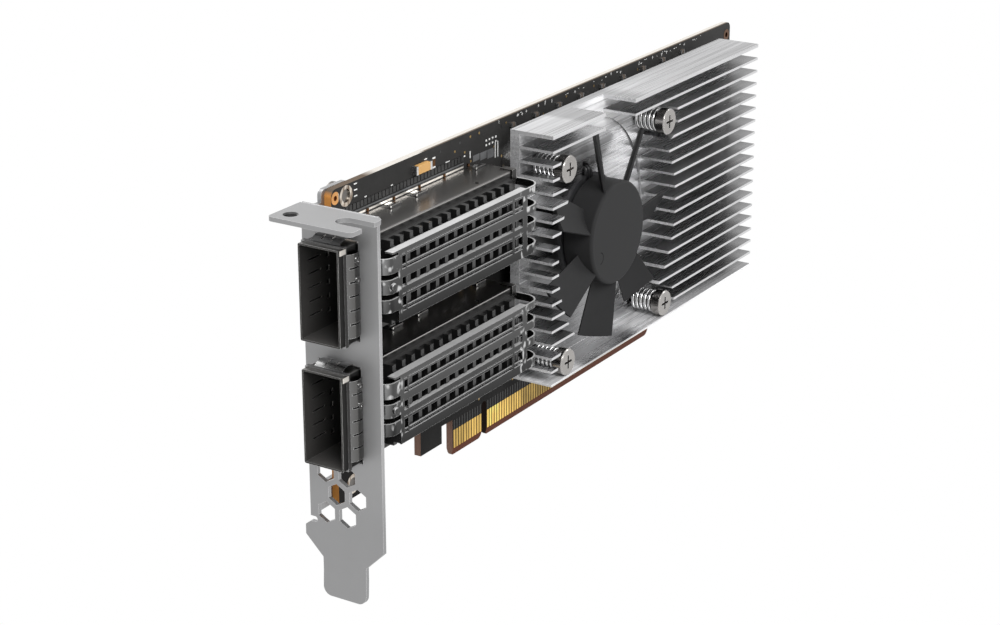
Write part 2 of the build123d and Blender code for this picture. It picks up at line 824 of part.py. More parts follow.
def make_clip(z):
    left = cage_front + clip_left_margin
    right = cage_back - clip_right_margin
    back = clip_front + clip_sheet
    top = z + clip_rails[0][0]
    bottom = z + clip_rails[-1][0] - clip_rails[-1][1]
    posts = (
        (left, left + clip_end_width),
        (left + clip_near_post, left + clip_near_post + clip_post_width / 2),
        (right - clip_far_post - clip_post_width, right - clip_far_post),
        (right - clip_far_width, right),
    )
    clip = block(posts[0][0], posts[0][1], clip_front, back, bottom, top)
    for rail_top, height, depth, slotted in clip_rails:
        z_top = z + rail_top
        rail = block(left, right, clip_front, back, z_top - height, z_top)
        if slotted:
            gap_top = z_top - clip_sheet
            gap_low = gap_top - clip_slot_height
            rail -= block(posts[0][1], posts[3][0], clip_front - 1, back + 1, gap_low, gap_top)
        else:
            gap_top = z_top - height * 0.6
            gap_low = gap_top - clip_groove_height
            gap_rear = clip_front + clip_groove_depth
            rail -= block(posts[0][1], posts[3][0], clip_front - 1, gap_rear, gap_low, gap_top)
            rail += block(left, right, clip_front, clip_front + depth, z_top - clip_sheet, z_top)
        clip += rail
    clip += block(
        left - clip_flange_overhang, left, clip_front, clip_front + clip_rails[0][2], top - clip_sheet, top
    )
    for start, end in posts[1:]:
        clip += block(start, end, clip_front, back, bottom, top)

    # Arms at both ends curve back: the left ones onto the cage's side, the right ones onto its rear
    left_x = left - clip_left_arm_reach + clip_left_arm_radius
    left_y = clip_front + clip_left_arm_radius
    left_wall = left - clip_left_arm_reach
    right_x = right + clip_right_arm_reach - clip_right_arm_radius
    right_y = clip_front + clip_right_arm_radius
    right_wall = right + clip_right_arm_reach
    arm_rear = -port_height * clip_arm_tip_share
    for arm_top, height in clip_left_arms:
        high = z + arm_top
        low = high - height
        clip += block(left_x, left + 0.1, clip_front, back, low, high)
        clip += quarter_bend(left_x, left_y, clip_left_arm_radius, -1, low, high)
        clip += block(left_wall, left_wall + clip_sheet, left_y, rider_rear, low, high)
        foot_end = left_wall + clip_foot_length
        clip += block(left_wall, foot_end, rider_rear - clip_sheet, rider_rear, low, high)
    for rail_top, height, _, slotted in clip_rails:
        low = z + rail_top - height
        high = low + min(clip_arm_height, height - (clip_sheet + clip_slot_height if slotted else 0))
        clip += block(right - 0.1, right_x, clip_front, back, low, high)
        clip += quarter_bend(right_x, right_y, clip_right_arm_radius, 1, low, high)
        clip += block(right_wall - clip_sheet, right_wall, right_y, arm_rear, low, high)
        clip += block(cage_back, right_wall, arm_rear - clip_sheet, arm_rear, low, high)
    rivet_z = z + clip_left_arms[1][0] - clip_left_arms[1][1] / 2
    rivet = post(left_x - 0.3, rivet_z, clip_rivet_radius, clip_front - 0.5, back)
    return clip + fillet(rivet.edges().group_by(Axis.Y)[0], 0.35)


for name, z in port_centres.items():
    save(name + "_cage", make_cage(z))
    save(name + "_spring_collar", make_collar(z))
    save(name + "_port_connector", make_connector(z))
    save(name + "_port_contacts", make_port_contacts(z))
    save(name + "_port_heat_sink", make_rider(z))
    save(name + "_heat_sink_clip", make_clip(z))


# Main heat sink

lead_slot_half = lead_pitch * (lead_count - 1) / 2 + lead_radius + lead_slot_gap
lead_turn_z = fan_z + motor_base_radius + lead_outside
lead_y = recess_floor - lead_radius


def make_main_sink():
    sink = block(sink_left, sink_right, base_rear, base_front, sink_bottom, sink_top)
    count = int((sink_height - sink_top_fin_thickness) / sink_fin_pitch) + 1
    step = (sink_height - sink_top_fin_thickness) / (count - 1)
    middle_fins = [sink_fin_thickness] * (count - 2)
    thicknesses = [sink_bottom_fin_thickness] + middle_fins + [sink_top_fin_thickness]
    notch_left = sink_left + lead_notch_left
    notch_right = notch_left + lead_notch_width
    for index, thickness in enumerate(thicknesses):
        low = sink_bottom + index * step
        fin = block(sink_left, sink_right, base_front, fin_front, low, low + thickness)
        if 0 < index < count - 1:
            fin -= post(fan_x, fan_z, bore_radius, base_front, fin_front - 1)
            for x, z in screw_places:
                pocket = screw_pocket_radius
                fin -= post(x, z, pocket, base_front, fin_front - 1)
                fin -= block(x, fan_x, base_front, fin_front - 1, z - pocket, z + pocket)
        if index >= count - lead_notch_fins:
            fin -= block(notch_left, notch_right, base_front, fin_front - 1, low - 1, low + 2)
        sink += fin
    sink -= post(fan_x, fan_z, sink_recess_radius, recess_floor, base_front - 0.001)
    for x, z in screw_places:
        sink -= post(x, z, screw_hole_radius, base_rear + 1, base_front - 1)
    sink -= block(
        fan_x - lead_slot_half, fan_x + lead_slot_half, base_rear + 1, recess_floor - 1,
        lead_turn_z - lead_bend_radius, lead_turn_z + lead_bend_radius + lead_radius + lead_slot_gap,
    )
    return sink


save("main_heat_sink", make_main_sink())


# Spring screws, their springs and the nuts behind the board

head_rear = fin_front + screw_head_height
neck_rear = head_rear + screw_neck_height
nut_front = board_thickness
nut_rear = board_thickness + nut_height


def make_spring_screws():
    screws = []
    for x, z in screw_places:
        head = post(x, z, screw_head_radius, fin_front, head_rear)
        head = chamfer(head.edges().group_by(Axis.Y)[0], 0.2)
        screw = head + post(x, z, screw_neck_radius, head_rear, neck_rear)
        screw += post(x, z, screw_shank_radius, neck_rear, nut_rear)
        long_arm = screw_recess_length / 2
        short_arm = screw_recess_width / 2
        for half_x, half_z in ((long_arm, short_arm), (short_arm, long_arm)):
            screw -= block(
                x - half_x, x + half_x, fin_front - 1, fin_front + screw_recess_depth, z - half_z, z + half_z
            )
        screws.append(screw)
    return Compound(children=screws)


def make_standoffs():
    sleeves = [tube(x, z, standoff_radius, screw_hole_radius, 0, base_rear) for x, z in screw_places]
    return Compound(children=sleeves)


def make_springs():
    coil_radius = spring_outer_radius - spring_wire_radius
    height = base_front - head_rear - 2 * spring_wire_radius
    springs = []
    for x, z in screw_places:
        path = Helix(pitch=height / spring_turns, height=height, radius=coil_radius)
        section = Plane(origin=path @ 0, z_dir=path % 0) * Circle(spring_wire_radius)
        coil = sweep(section, path=path, is_frenet=True)
        springs.append(Pos(x, base_front - spring_wire_radius, z) * Rot(90, 0, 0) * coil)
    return Compound(children=springs)


def make_nuts():
    nuts = []
    for x, z in screw_places:
        hexagon = extrude(RegularPolygon(nut_radius, 6), amount=nut_height)
        nut = Pos(x, nut_rear, z) * Rot(90, 0, 0) * hexagon
        nuts.append(nut - post(x, z, screw_shank_radius, nut_front - 1, nut_rear + 1))
    return Compound(children=nuts)


save("heat_sink_screws", make_spring_screws())
save("screw_springs", make_springs())
save("screw_nuts", make_nuts())
save("board_standoffs", make_standoffs())


# Controller and its thermal pad

controller_x = (screw_places[0][0] + screw_places[-1][0]) / 2
controller_z = (screw_places[0][1] + screw_places[-1][1]) / 2


def square_plate(x, z, size, y0, y1):
    half = size / 2
    return block(x - half, x + half, y0, y1, z - half, z + half)


lid_front = base_rear + pad_thickness
substrate = square_plate(controller_x, controller_z, substrate_size, 0, -substrate_thickness)
save("controller_substrate", substrate)
lid = square_plate(controller_x, controller_z, lid_size, -substrate_thickness, lid_front)
save("controller_lid", fillet(lid.edges().filter_by(Axis.Y), 1.0))
save("thermal_pad", square_plate(controller_x, controller_z, pad_size, lid_front, base_rear))


# Fan rotor

def blade_section(distance, lead, trail, front, depth):
    """The blade's slightly curved section, on a plane square to the radius."""
    lead_x = distance * sin(radians(lead))
    trail_x = -distance * sin(radians(trail))
    rear = front + depth
    run_x = lead_x - trail_x
    run_y = front - rear
    length = sqrt(run_x ** 2 + run_y ** 2)
    normal_x = -run_y / length
    normal_y = run_x / length
    half = blade_thickness / 2

    def place(share, offset):
        return (
            trail_x + run_x * share + normal_x * offset,
            rear + run_y * share + normal_y * offset,
        )

    upper = ThreePointArc(place(0, half * 0.6), place(0.5, half + blade_camber), place(1, half * 0.6))
    lower = ThreePointArc(place(1, -half * 0.6), place(0.5, blade_camber - half), place(0, -half * 0.6))
    outline = [
        upper,
        Line(place(1, half * 0.6), place(1, -half * 0.6)),
        lower,
        Line(place(0, -half * 0.6), place(0, half * 0.6)),
    ]
    # Local X runs with the turn from +X towards +Z, local Y is the card's Y
    plane = Plane(origin=(fan_x + distance, 0, fan_z), x_dir=(0, 0, 1), z_dir=(-1, 0, 0))
    return plane * make_face(outline)


def make_impeller():
    front = hub_front + blade_front_setback
    root_distance = hub_radius - hub_wall * 0.6
    tip_distance = blade_tip_radius + 0.3
    root = blade_section(root_distance, blade_root_lead, blade_root_trail, front, blade_root_depth)
    tip = blade_section(tip_distance, blade_tip_lead, blade_tip_trail, front, blade_tip_depth)
    blade = loft([root, tip])
    blade &= post(fan_x, fan_z, blade_tip_radius, hub_front, base_front)
    blade -= post(fan_x, fan_z, hub_radius - hub_wall * 0.5, hub_front - 1, base_front)
    hub = post(fan_x, fan_z, hub_radius, hub_front, hub_rear)
    hub = fillet(hub.edges().group_by(Axis.Y)[0], hub_edge_radius)
    hub -= post(fan_x, fan_z, hub_inner_radius, hub_inner_front, hub_rear + 1)
    hub += post(fan_x, fan_z, shaft_boss_radius, hub_inner_front, boss_rear)
    hub -= post(fan_x, fan_z, shaft_radius, hub_inner_front - 0.3, boss_rear + 1)
    for index in range(blade_count):
        hub += turned(blade, blade_first_angle + index * 360 / blade_count)
    return hub


ring_rear = hub_rear - rotor_ring_rear_gap
ring_front = hub_inner_front + rotor_ring_front_gap
save("fan_impeller", make_impeller())
save("fan_shaft", post(fan_x, fan_z, shaft_radius, hub_inner_front - 0.3, bearing_rear - shaft_end_gap))
save("rotor_yoke", tube(fan_x, fan_z, hub_inner_radius, yoke_inner_radius, ring_front, ring_rear))
save("rotor_magnet", tube(fan_x, fan_z, yoke_inner_radius, magnet_inner_radius, ring_front, ring_rear))


# Fan motor: base with its bearing tube, board, core, windings and leads

def make_motor_base():
    base = post(fan_x, fan_z, motor_base_radius, recess_floor, motor_base_front)
    base += post(fan_x, fan_z, bearing_tube_radius, motor_base_front, bearing_front)
    base -= post(fan_x, fan_z, bearing_radius, bearing_rear, bearing_front - 1)
    base -= block(
        fan_x - lead_slot_half, fan_x + lead_slot_half, recess_floor + 1, motor_base_front - 1,
        fan_z + motor_board_radius - 1.5, fan_z + motor_base_radius + 1,
    )
    return base


def make_core():
    core = post(fan_x, fan_z, stator_core_radius, stator_front, stator_rear)
    middle_y = (stator_front + stator_rear) / 2
    reach = stator_radius - stator_shoe_depth / 2
    shoes = tube(fan_x, fan_z, stator_radius, stator_radius - stator_shoe_depth, stator_front, stator_rear)
    gap_angle = 360 / stator_poles - stator_shoe_angle
    for index in range(stator_poles):
        angle = index * 360 / stator_poles
        arm = block(
            fan_x, fan_x + reach, stator_front, stator_rear,
            fan_z - stator_arm_width / 2, fan_z + stator_arm_width / 2,
        )
        core += turned(arm, angle)
        cut_width = 2 * stator_radius * sin(radians(gap_angle / 2))
        gap = block(
            fan_x + stator_core_radius, fan_x + stator_radius + 1, stator_front - 1, stator_rear + 1,
            fan_z - cut_width / 2, fan_z + cut_width / 2,
        )
        shoes -= turned(gap, angle + 180 / stator_poles)
    core += shoes
    reach_y = stator_thickness
    return core - post(fan_x, fan_z, bearing_tube_radius, middle_y - reach_y, middle_y + reach_y)


def make_windings():
    coils = []
    half = stator_arm_width / 2
    inner = stator_core_radius + winding_gap + 0.4
    shoe_inner = stator_radius - stator_shoe_depth
    outer = sqrt(shoe_inner ** 2 - (half + winding_build) ** 2) - winding_gap
    for index in range(stator_poles):
        coil = block(
            fan_x + inner, fan_x + outer, stator_front - winding_build, stator_rear + winding_build,
            fan_z - half - winding_build, fan_z + half + winding_build,
        )
        coil = fillet(coil.edges().filter_by(Axis.X), winding_build * 0.6)
        coil -= block(fan_x, fan_x + stator_radius, stator_front, stator_rear, fan_z - half, fan_z + half)
        coils.append(turned(coil, index * 360 / stator_poles))
    return Compound(children=coils)


header_front = base_rear + header_board_gap


def make_leads():
    start_z = fan_z + motor_board_radius - 0.4
    leads = []
    for index in range(lead_count):
        x = fan_x + (index - (lead_count - 1) / 2) * lead_pitch
        corners = [(x, lead_y, start_z), (x, lead_y, lead_turn_z), (x, header_front, lead_turn_z)]
        path = FilletPolyline(*corners, radius=lead_bend_radius)
        section = Plane(origin=path @ 0, z_dir=path % 0) * Circle(lead_radius)
        leads.append(sweep(section, path=path))
    return Compound(children=leads)


save("fan_motor_base", make_motor_base())
save("fan_bearing", tube(
    fan_x, fan_z, bearing_radius, shaft_radius + shaft_running_gap, bearing_rear, bearing_front
))
save("fan_motor_board", tube(
    fan_x, fan_z, motor_board_radius, bearing_tube_radius, motor_base_front, motor_board_front
))
save("fan_motor_core", make_core())
save("fan_windings", make_windings())
save("fan_leads", make_leads())
save("fan_header", block(
    fan_x - header_length / 2, fan_x + header_length / 2, 0, header_front,
    lead_turn_z - header_width / 2, lead_turn_z + header_width / 2,
))


# Small parts on the board

FRONT = 0
BACK = board_thickness


def chip(x, z, width, height, thickness, face=FRONT):
    """A low block on one face of the board, centred at X, Z."""
    rise = -thickness if face == FRONT else thickness
    return block(x - width / 2, x + width / 2, face, face + rise, z - height / 2, z + height / 2)


def row_of(count, pitch, middle):
    """Evenly spaced places about a middle."""
    return [middle + (index - (count - 1) / 2) * pitch for index in range(count)]


power_x = sink_left + power_from_left
power_z = sink_bottom + power_from_bottom
strip_z = board_top - strip_from_top
port_middle = (port_centres["upper"] + port_centres["lower"]) / 2


def make_inductors():
    cores = []
    for z in row_of(inductor_count, inductor_pitch, power_z):
        core = chip(power_x, z, inductor_size, inductor_size, inductor_height)
        cores.append(chamfer(core.edges().group_by(Axis.Y)[0], 0.4))
    return Compound(children=cores)


def make_power_stages():
    stage_x = power_x - inductor_size / 2 - stage_gap - stage_size / 2
    return Compound(children=[
        chip(stage_x, z, stage_size, stage_size, stage_height)
        for z in row_of(inductor_count, inductor_pitch, power_z)
    ])


def make_bulk_capacitors():
    bulk_x = power_x + inductor_size / 2 + stage_gap + bulk_width / 2
    blocks = []
    for z in row_of(inductor_count, inductor_pitch, power_z):
        body = chip(bulk_x, z, bulk_width, bulk_height, bulk_rise)
        blocks.append(chamfer(body.edges().group_by(Axis.Y)[0], 0.25))
    return Compound(children=blocks)


def make_ceramic_capacitors():
    places = [(x, strip_z + 0.5) for x in row_of(9, 9.3, sink_left + sink_length * 0.46)]
    places += [(x, port_middle) for x in row_of(12, 3.6, cage_back - 26.0)]
    for x in (power_x - 10.6, power_x + 11.5):
        places += [(x, z) for z in row_of(8, 4.2, power_z)]
    return Compound(children=[chip(x, z, ceramic_length, ceramic_width, ceramic_rise) for x, z in places])


def make_back_capacitors():
    places = []
    for x in row_of(7, 3.2, controller_x):
        places += [(x, z) for z in row_of(6, 3.4, controller_z)]
    places += [(x, board_shoulder + 3.0) for x in row_of(12, 2.4, controller_x)]
    return Compound(children=[
        chip(x, z, ceramic_width, ceramic_length, ceramic_rise, BACK) for x, z in places
    ])


def make_memory_chip():
    body = chip(memory_x, memory_z, memory_width, memory_height, memory_rise)
    parts = body
    for z in row_of(4, 1.27, memory_z):
        for side in (-1, 1):
            parts += chip(memory_x + side * (memory_width / 2 + 0.45), z, 1.1, 0.42, 0.22)
    return parts


def make_back_chips():
    places = (
        (power_x, power_z + 8.0, 7.0),
        (power_x + back_chip_offset, power_z - 6.0, 5.0),
        ((cage_front + cage_back) / 2, port_middle, 6.0),
    )
    return Compound(children=[chip(x, z, size, size, 0.9, BACK) for x, z, size in places])


memory_x = board_right - memory_from_right
memory_z = board_shoulder + memory_from_bottom
save("power_inductors", make_inductors())
save("power_stages", make_power_stages())
save("bulk_capacitors", make_bulk_capacitors())
save("ceramic_capacitors", make_ceramic_capacitors())
save("back_capacitors", make_back_capacitors())
save("memory_chip", make_memory_chip())
save("back_chips", make_back_chips())
save("input_capacitor", chip(input_capacitor_x, board_top - 2.9, 5.4, 1.65, 1.1))
save("clock_can", chip(power_x - clock_from_power, power_z, 3.2, 2.5, 0.9))
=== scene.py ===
import json
import math
import random

import bmesh
import bpy
from bpy.props import (
    FloatProperty,
    FloatVectorProperty,
    IntProperty,
    PointerProperty,
)
from mathutils import Matrix, Vector


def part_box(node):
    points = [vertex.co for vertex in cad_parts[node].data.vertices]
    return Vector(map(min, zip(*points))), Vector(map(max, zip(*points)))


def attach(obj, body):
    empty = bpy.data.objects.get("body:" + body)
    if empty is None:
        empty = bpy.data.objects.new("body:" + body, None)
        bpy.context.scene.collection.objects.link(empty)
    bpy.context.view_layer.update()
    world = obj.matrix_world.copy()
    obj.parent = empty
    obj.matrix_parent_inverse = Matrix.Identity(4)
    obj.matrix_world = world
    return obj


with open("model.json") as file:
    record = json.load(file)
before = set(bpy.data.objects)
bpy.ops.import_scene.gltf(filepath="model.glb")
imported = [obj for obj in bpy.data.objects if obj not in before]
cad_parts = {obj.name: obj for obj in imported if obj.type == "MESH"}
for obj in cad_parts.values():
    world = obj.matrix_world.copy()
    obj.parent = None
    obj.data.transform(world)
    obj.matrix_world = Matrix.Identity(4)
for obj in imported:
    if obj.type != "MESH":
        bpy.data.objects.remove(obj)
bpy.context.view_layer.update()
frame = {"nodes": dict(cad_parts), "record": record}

bl_info = {
    "name": "Network interface card",
    "version": (1, 0, 0),
    "blender": (4, 5, 0),
    "location": "View3D > Sidebar > Card",
    "description": "Finishes, board marks, solder and cage details for a low-profile network card",
    "category": "Object",
}

MM = 0.001


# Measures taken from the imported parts, in metres

def node_box(name):
    """A part's two far corners."""
    low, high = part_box(name)
    return Vector(low), Vector(high)


def joined_copy(name):
    """A part's mesh as a bmesh with its doubled points merged."""
    mesh = bmesh.new()
    mesh.from_mesh(frame["nodes"][name].data)
    bmesh.ops.remove_doubles(mesh, verts=mesh.verts, dist=1e-6)
    return mesh


def solid_boxes(name):
    """The corners of each separate solid in a part."""
    mesh = joined_copy(name)
    left = set(mesh.verts)
    boxes = []
    while left:
        stack = [left.pop()]
        members = []
        while stack:
            vert = stack.pop()
            members.append(vert.co.copy())
            for edge in vert.link_edges:
                other = edge.other_vert(vert)
                if other in left:
                    left.remove(other)
                    stack.append(other)
        low = Vector(min(point[axis] for point in members) for axis in range(3))
        high = Vector(max(point[axis] for point in members) for axis in range(3))
        boxes.append((low, high))
    mesh.free()
    return sorted(boxes, key=lambda box: tuple(box[0]))


BOARD_LOW, BOARD_HIGH = node_box("circuit_board")
FACE_Y = 0.0
BACK_Y = BOARD_HIGH.y
SINK_LOW, SINK_HIGH = node_box("main_heat_sink")
CAGES = [node_box("upper_cage"), node_box("lower_cage")]
CLIP_LOW, CLIP_HIGH = node_box("upper_heat_sink_clip")
CORNER_TAB_RISE = 0.3 * MM
SEAM_Z = 62.2 * MM
LATCH_PLACES = [x * MM for x in (-34.9, -26.1, -4.8)]
PORT_HALF = (CAGES[0][1].z - CORNER_TAB_RISE - CAGES[0][0].z) / 2
PORT_MIDDLE = (CAGES[0][0].z + CAGES[1][0].z) / 2 + PORT_HALF
PORT_OFFSET = (CAGES[0][0].z - CAGES[1][0].z) / 2


# Marks set one by one on the strip above the upper cage: material, then X, Z, width and height in mm
STRIP_MARKS = [
    ("mark_white", [(-44.5, 68.3, 1.0, 0.25), (-44.5, 67.1, 1.0, 0.25), (-44.5, 65.9, 1.0, 0.25),
                    (-32.6, 64.9, 0.7, 0.2), (-41.3, 64.9, 0.7, 0.2), (-20.9, 67.2, 0.9, 0.25),
                    (-18.0, 66.7, 1.0, 0.35)]),
    ("pin_bronze", [(-18.0, 65.7, 0.9, 1.5)]),
    ("mark_white", [(-18.0, 64.8, 1.0, 0.35), (-13.1, 64.6, 1.5, 0.35), (-10.4, 64.3, 1.7, 0.3),
                    (-7.6, 64.3, 1.8, 0.3), (-4.9, 64.1, 0.3, 1.5)]),
    ("pale_pad", [(-2.6, 62.9, 2.4, 1.3), (0.1, 62.7, 2.4, 1.6), (2.8, 62.5, 2.4, 1.9)]),
    ("mark_white", [(x, z, 0.5, 0.4) for z in (64.6, 65.6) for x in (1.2, 2.4, 3.6, 4.8)]),
    ("mark_white", [(5.6, 62.8, 0.3, 3.4), (4.6, 62.8, 0.3, 3.4)]),
    ("tooth_black", [(-15.7, 67.4, 0.5, 0.5), (-8.6, 67.5, 0.6, 0.5), (0.0, 67.3, 0.6, 0.5),
                     (7.2, 67.2, 0.6, 0.5)]),
]

# Open areas of the board, as X and Z spans in millimetres, and how many marks fall there
FRONT_SPANS = [(6.0, 105.0, 67.9, 68.5), (99.5, 108.5, 18.0, 60.0), (-44.0, 2.0, 38.2, 41.3)]
BACK_SPAN = (-50, 108, 14, 67)
VIA_SPANS = {"front_vias": (-15, 71, 9.0, 68.0), "back_vias": (-50, 71, 9.5, 67.5)}
FRONT_MARKS = 120
FRONT_BARS = 70
FRONT_RESISTORS = 40
BACK_MARKS = 420
VIA_SIDES = 10
# Below this height the board is only as long as its contact edge: middle and half length
VIA_FULL_HEIGHT = 13 * MM
CONTACT_EDGE = (30 * MM, 41 * MM)

# Soldered ends: part, the axis that they lie along, and how far they reach in, in millimetres
SOLDERED = (
    ("ceramic_capacitors", 0, 0.17), ("back_capacitors", 2, 0.17), ("input_capacitor", 0, 0.32),
    ("bulk_capacitors", 0, 0.5), ("power_inductors", 2, 0.7),
)
SOLDER_OVERHANG = 0.03 * MM

TRACE_LENGTH = 2.2 * MM
TRACE_WIDTH = 0.2 * MM
TRACE_THICKNESS = 0.024 * MM

# Strips along the upper cage's top seam, in millimetres: Y, height over the seam, depth and height
# The seam strip is a bright sheet of painted highlight along the cage's top corner, and the foot gap a
# black one of painted shade
SEAM_STRIPS = (
    ("cage_foot_rail", -0.1, 0.75, 0.2, 0.2, "pale_pad"),
    ("cage_foot_gap", -0.05, 0.45, 0.1, 0.45, "tooth_black"),
    ("cage_seam", -0.06, 0.02, 0.12, 0.4, "seam_bright"),
    ("cage_seam_base", -0.05, -0.35, 0.1, 0.4, "seam_grey"),
)
SEAM_MIDDLE = -29.5 * MM
SEAM_LENGTH = 44.0 * MM
FOOT_TEETH = 36
SEAM_PINS = 5
PIN_PITCH = 8.8 * MM

# Pieces of each latch, in millimetres: place by X, Y and out of the cage's wall, then size
# The wells and bars are black, painted shade under the raised latch; the pads and tips are bright, painted
# highlights
LATCH_PARTS = (
    ("cage_latch_wells", (-0.4, -1.35, 0.015), (4.0, 2.2, 0.03), "tooth_black"),
    ("cage_latch_pads", (0.1, -0.75, 0.05), (1.9, 0.9, 0.1), "tab_steel"),
    ("cage_latch_bars", (-0.5, -2.75, 0.2), (3.6, 0.16, 0.4), "tooth_black"),
    ("cage_latch_lips", (-0.5, -2.75, 0.46), (3.6, 0.16, 0.12), "lip_steel"),
    ("cage_latch_tips", (-2.25, -2.8, 0.4), (0.35, 0.3, 0.35), "tab_steel"),
)

# Tones along an axis: start and end in millimetres, and the value at each where it isn't nought and one
# FIN_SHADE to PLATE_BY_LENGTH: painted shade and light on the heat sink
FIN_SHADE = (15.0, 24.0, 0.95, 1.25)
SINK_TOP = (40.0, 70.0, 0.56, 0.44)
SINK_FOOT = (17.0, 21.0, 1.5, 0.56)
SINK_FOOT_RISE = (38.0, 46.0)
FIN_ENDS = (64.0, 96.0, 0.70, 0.24)
PLATE_BY_HEIGHT = (40.0, 63.0, 0.38, 0.85)
PLATE_BY_LENGTH = (26.0, 44.0, 0.7, 1.75)
PLATE_SOFT = (52.0, 60.0)
FOOT_SOFT_LEFT = (20.0, 17.0)
FOOT_SOFT_RIGHT = (38.0, 44.0)
BRACKET_OVER_PORTS = (5.0, 16.0, 1.0, 0.5)
BRACKET_OVER_TOP = (60.0, 65.0, 0.0, 0.4)
# Painted light along the edge contacts up to X 6 mm, and painted shadow of the heat sink past X 9 mm
CONTACTS_NEAR = (-12.0, 6.0, 0.62, 1.3)
CONTACTS_FAR = (9.0, 18.0, 1.0, 0.33)
# Painted shade down each clip's rails, and the heights that part the upper clip from the lower
CLIP_RAILS = (0.0, 12.0, 0.22, 1.0)
UPPER_CLIP = (-2.0, -1.0)
BOARD_LOW_TONE = (30.0, 45.0, 0.42, 1.0)
BOARD_BARE = (1.9, 1.75)
# Painted shade in the board's notch
NOTCH = (3.0, 2.5)
# Painted shade on the top edge by the bracket, and the top edge's darker band along the front
TOP_BY_BRACKET_SPAN = (-37.0, -41.0)
TOP_BAND_SPAN = (-23.0, -21.0)
TOP_BAND_DEPTH = (0.55, 0.40)
TINNED_START = (-50.2, -50.0)
TINNED_END = (-44.0, -44.5)
# Where the far copper ring turns darker
DARKER_RING = (90.0, 95.0)
# Where the walls of the flange hole get painted shade
FLANGE_HEIGHT = (60.0, 61.0)
FLANGE_HOLE_EDGE = (1.75, 1.65)
MOULD_MARK_LINE = (0.16, 0.06)

# How squarely a face looks along an axis before it counts as facing that way, and when it does fully
FACES = (0.3, 0.7)
FACES_UP = (0.35, 0.9)

# The bare laminate's colours at the board's edges. The top edge is pale with painted light, and the lower
# edges, the top edge by the bracket and the notch get painted shade.
END_LAMINATE = ((0.11, 0.066, 0.050), (0.21, 0.13, 0.10))
TOP_LAMINATE = ((0.42, 0.39, 0.35), (0.62, 0.60, 0.57))
TOP_BY_BRACKET = (0.11, 0.085, 0.065)
TOP_FRONT_BAND = (0.13, 0.105, 0.085)
LOW_LAMINATE = (0.050, 0.013, 0.005)
LOW_BARE_FACE = (0.075, 0.019, 0.007)
NOTCH_DARK = (0.016, 0.010, 0.008)
EDGE_COPPER = (0.62, 0.27, 0.07)

# Painted shade inside a port starts this far in from the cage's outer face, and is fully dark a little
# deeper
PORT_SKIN = 0.30 * MM
PORT_DARK = 0.36 * MM

FLANGE_HOLE = (-64.1 * MM, 0.4 * MM)
MOULD_MARK = (25.5 * MM, 35.3 * MM)
MOULD_MARK_RADIUS = 1.3 * MM
BRUSH_SCALE = 1400.0

# Metals with no more than a soft variation, some with painted highlights on their edges
PLAIN_METALS = {
    "bracket_screw_metal": ((0.17, 0.16, 0.15), 0.35, {"edge": 3.0}),
    "port_contact_gold": ((0.6, 0.4, 0.12), 0.3, {}),
    "screw_chrome": ((0.37, 0.355, 0.34), 0.2, {"mottle": 0.3, "edge": 4.0}),
    "spring_steel": ((0.6, 0.6, 0.6), 0.16, {"mottle": 0.3}),
    "nut_steel": ((0.5, 0.5, 0.5), 0.3, {"edge": 3.0}),
    "standoff_metal": ((0.62, 0.62, 0.62), 0.22, {"mottle": 0.3, "edge": 3.0}),
    "lid_nickel": ((0.5, 0.5, 0.5), 0.35, {}),
    "shaft_steel": ((0.6, 0.6, 0.6), 0.2, {}),
    "yoke_steel": ((0.4, 0.4, 0.4), 0.35, {}),
    "bearing_bronze": ((0.5, 0.33, 0.16), 0.4, {}),
    "core_laminations": ((0.3, 0.3, 0.3), 0.45, {}),
    "winding_copper": ((0.7, 0.28, 0.1), 0.3, {"mottle": 0.5, "scale": 1500.0}),
    "clock_can_metal": ((0.6, 0.6, 0.58), 0.25, {"edge": 3.0}),
    "solder": ((0.62, 0.62, 0.62), 0.28, {"mottle": 0.4, "scale": 1200.0}),
    "via_gold": ((0.35, 0.24, 0.10), 0.4, {}),
    # A bright steel of painted highlight, for the latch pads and tips
    "tab_steel": ((0.75, 0.74, 0.72), 0.2, {"edge": 4.0}),
    "seam_grey": ((0.11, 0.107, 0.104), 0.4, {}),
    "lip_steel": ((0.26, 0.255, 0.25), 0.35, {}),
    # A bright colour of painted highlight, for the seam strip and the mouth folds
    "seam_bright": ((0.86, 0.82, 0.76), 0.4, {"mottle": 0.3}),
    "pin_bronze": ((0.12, 0.055, 0.02), 0.4, {}),
}

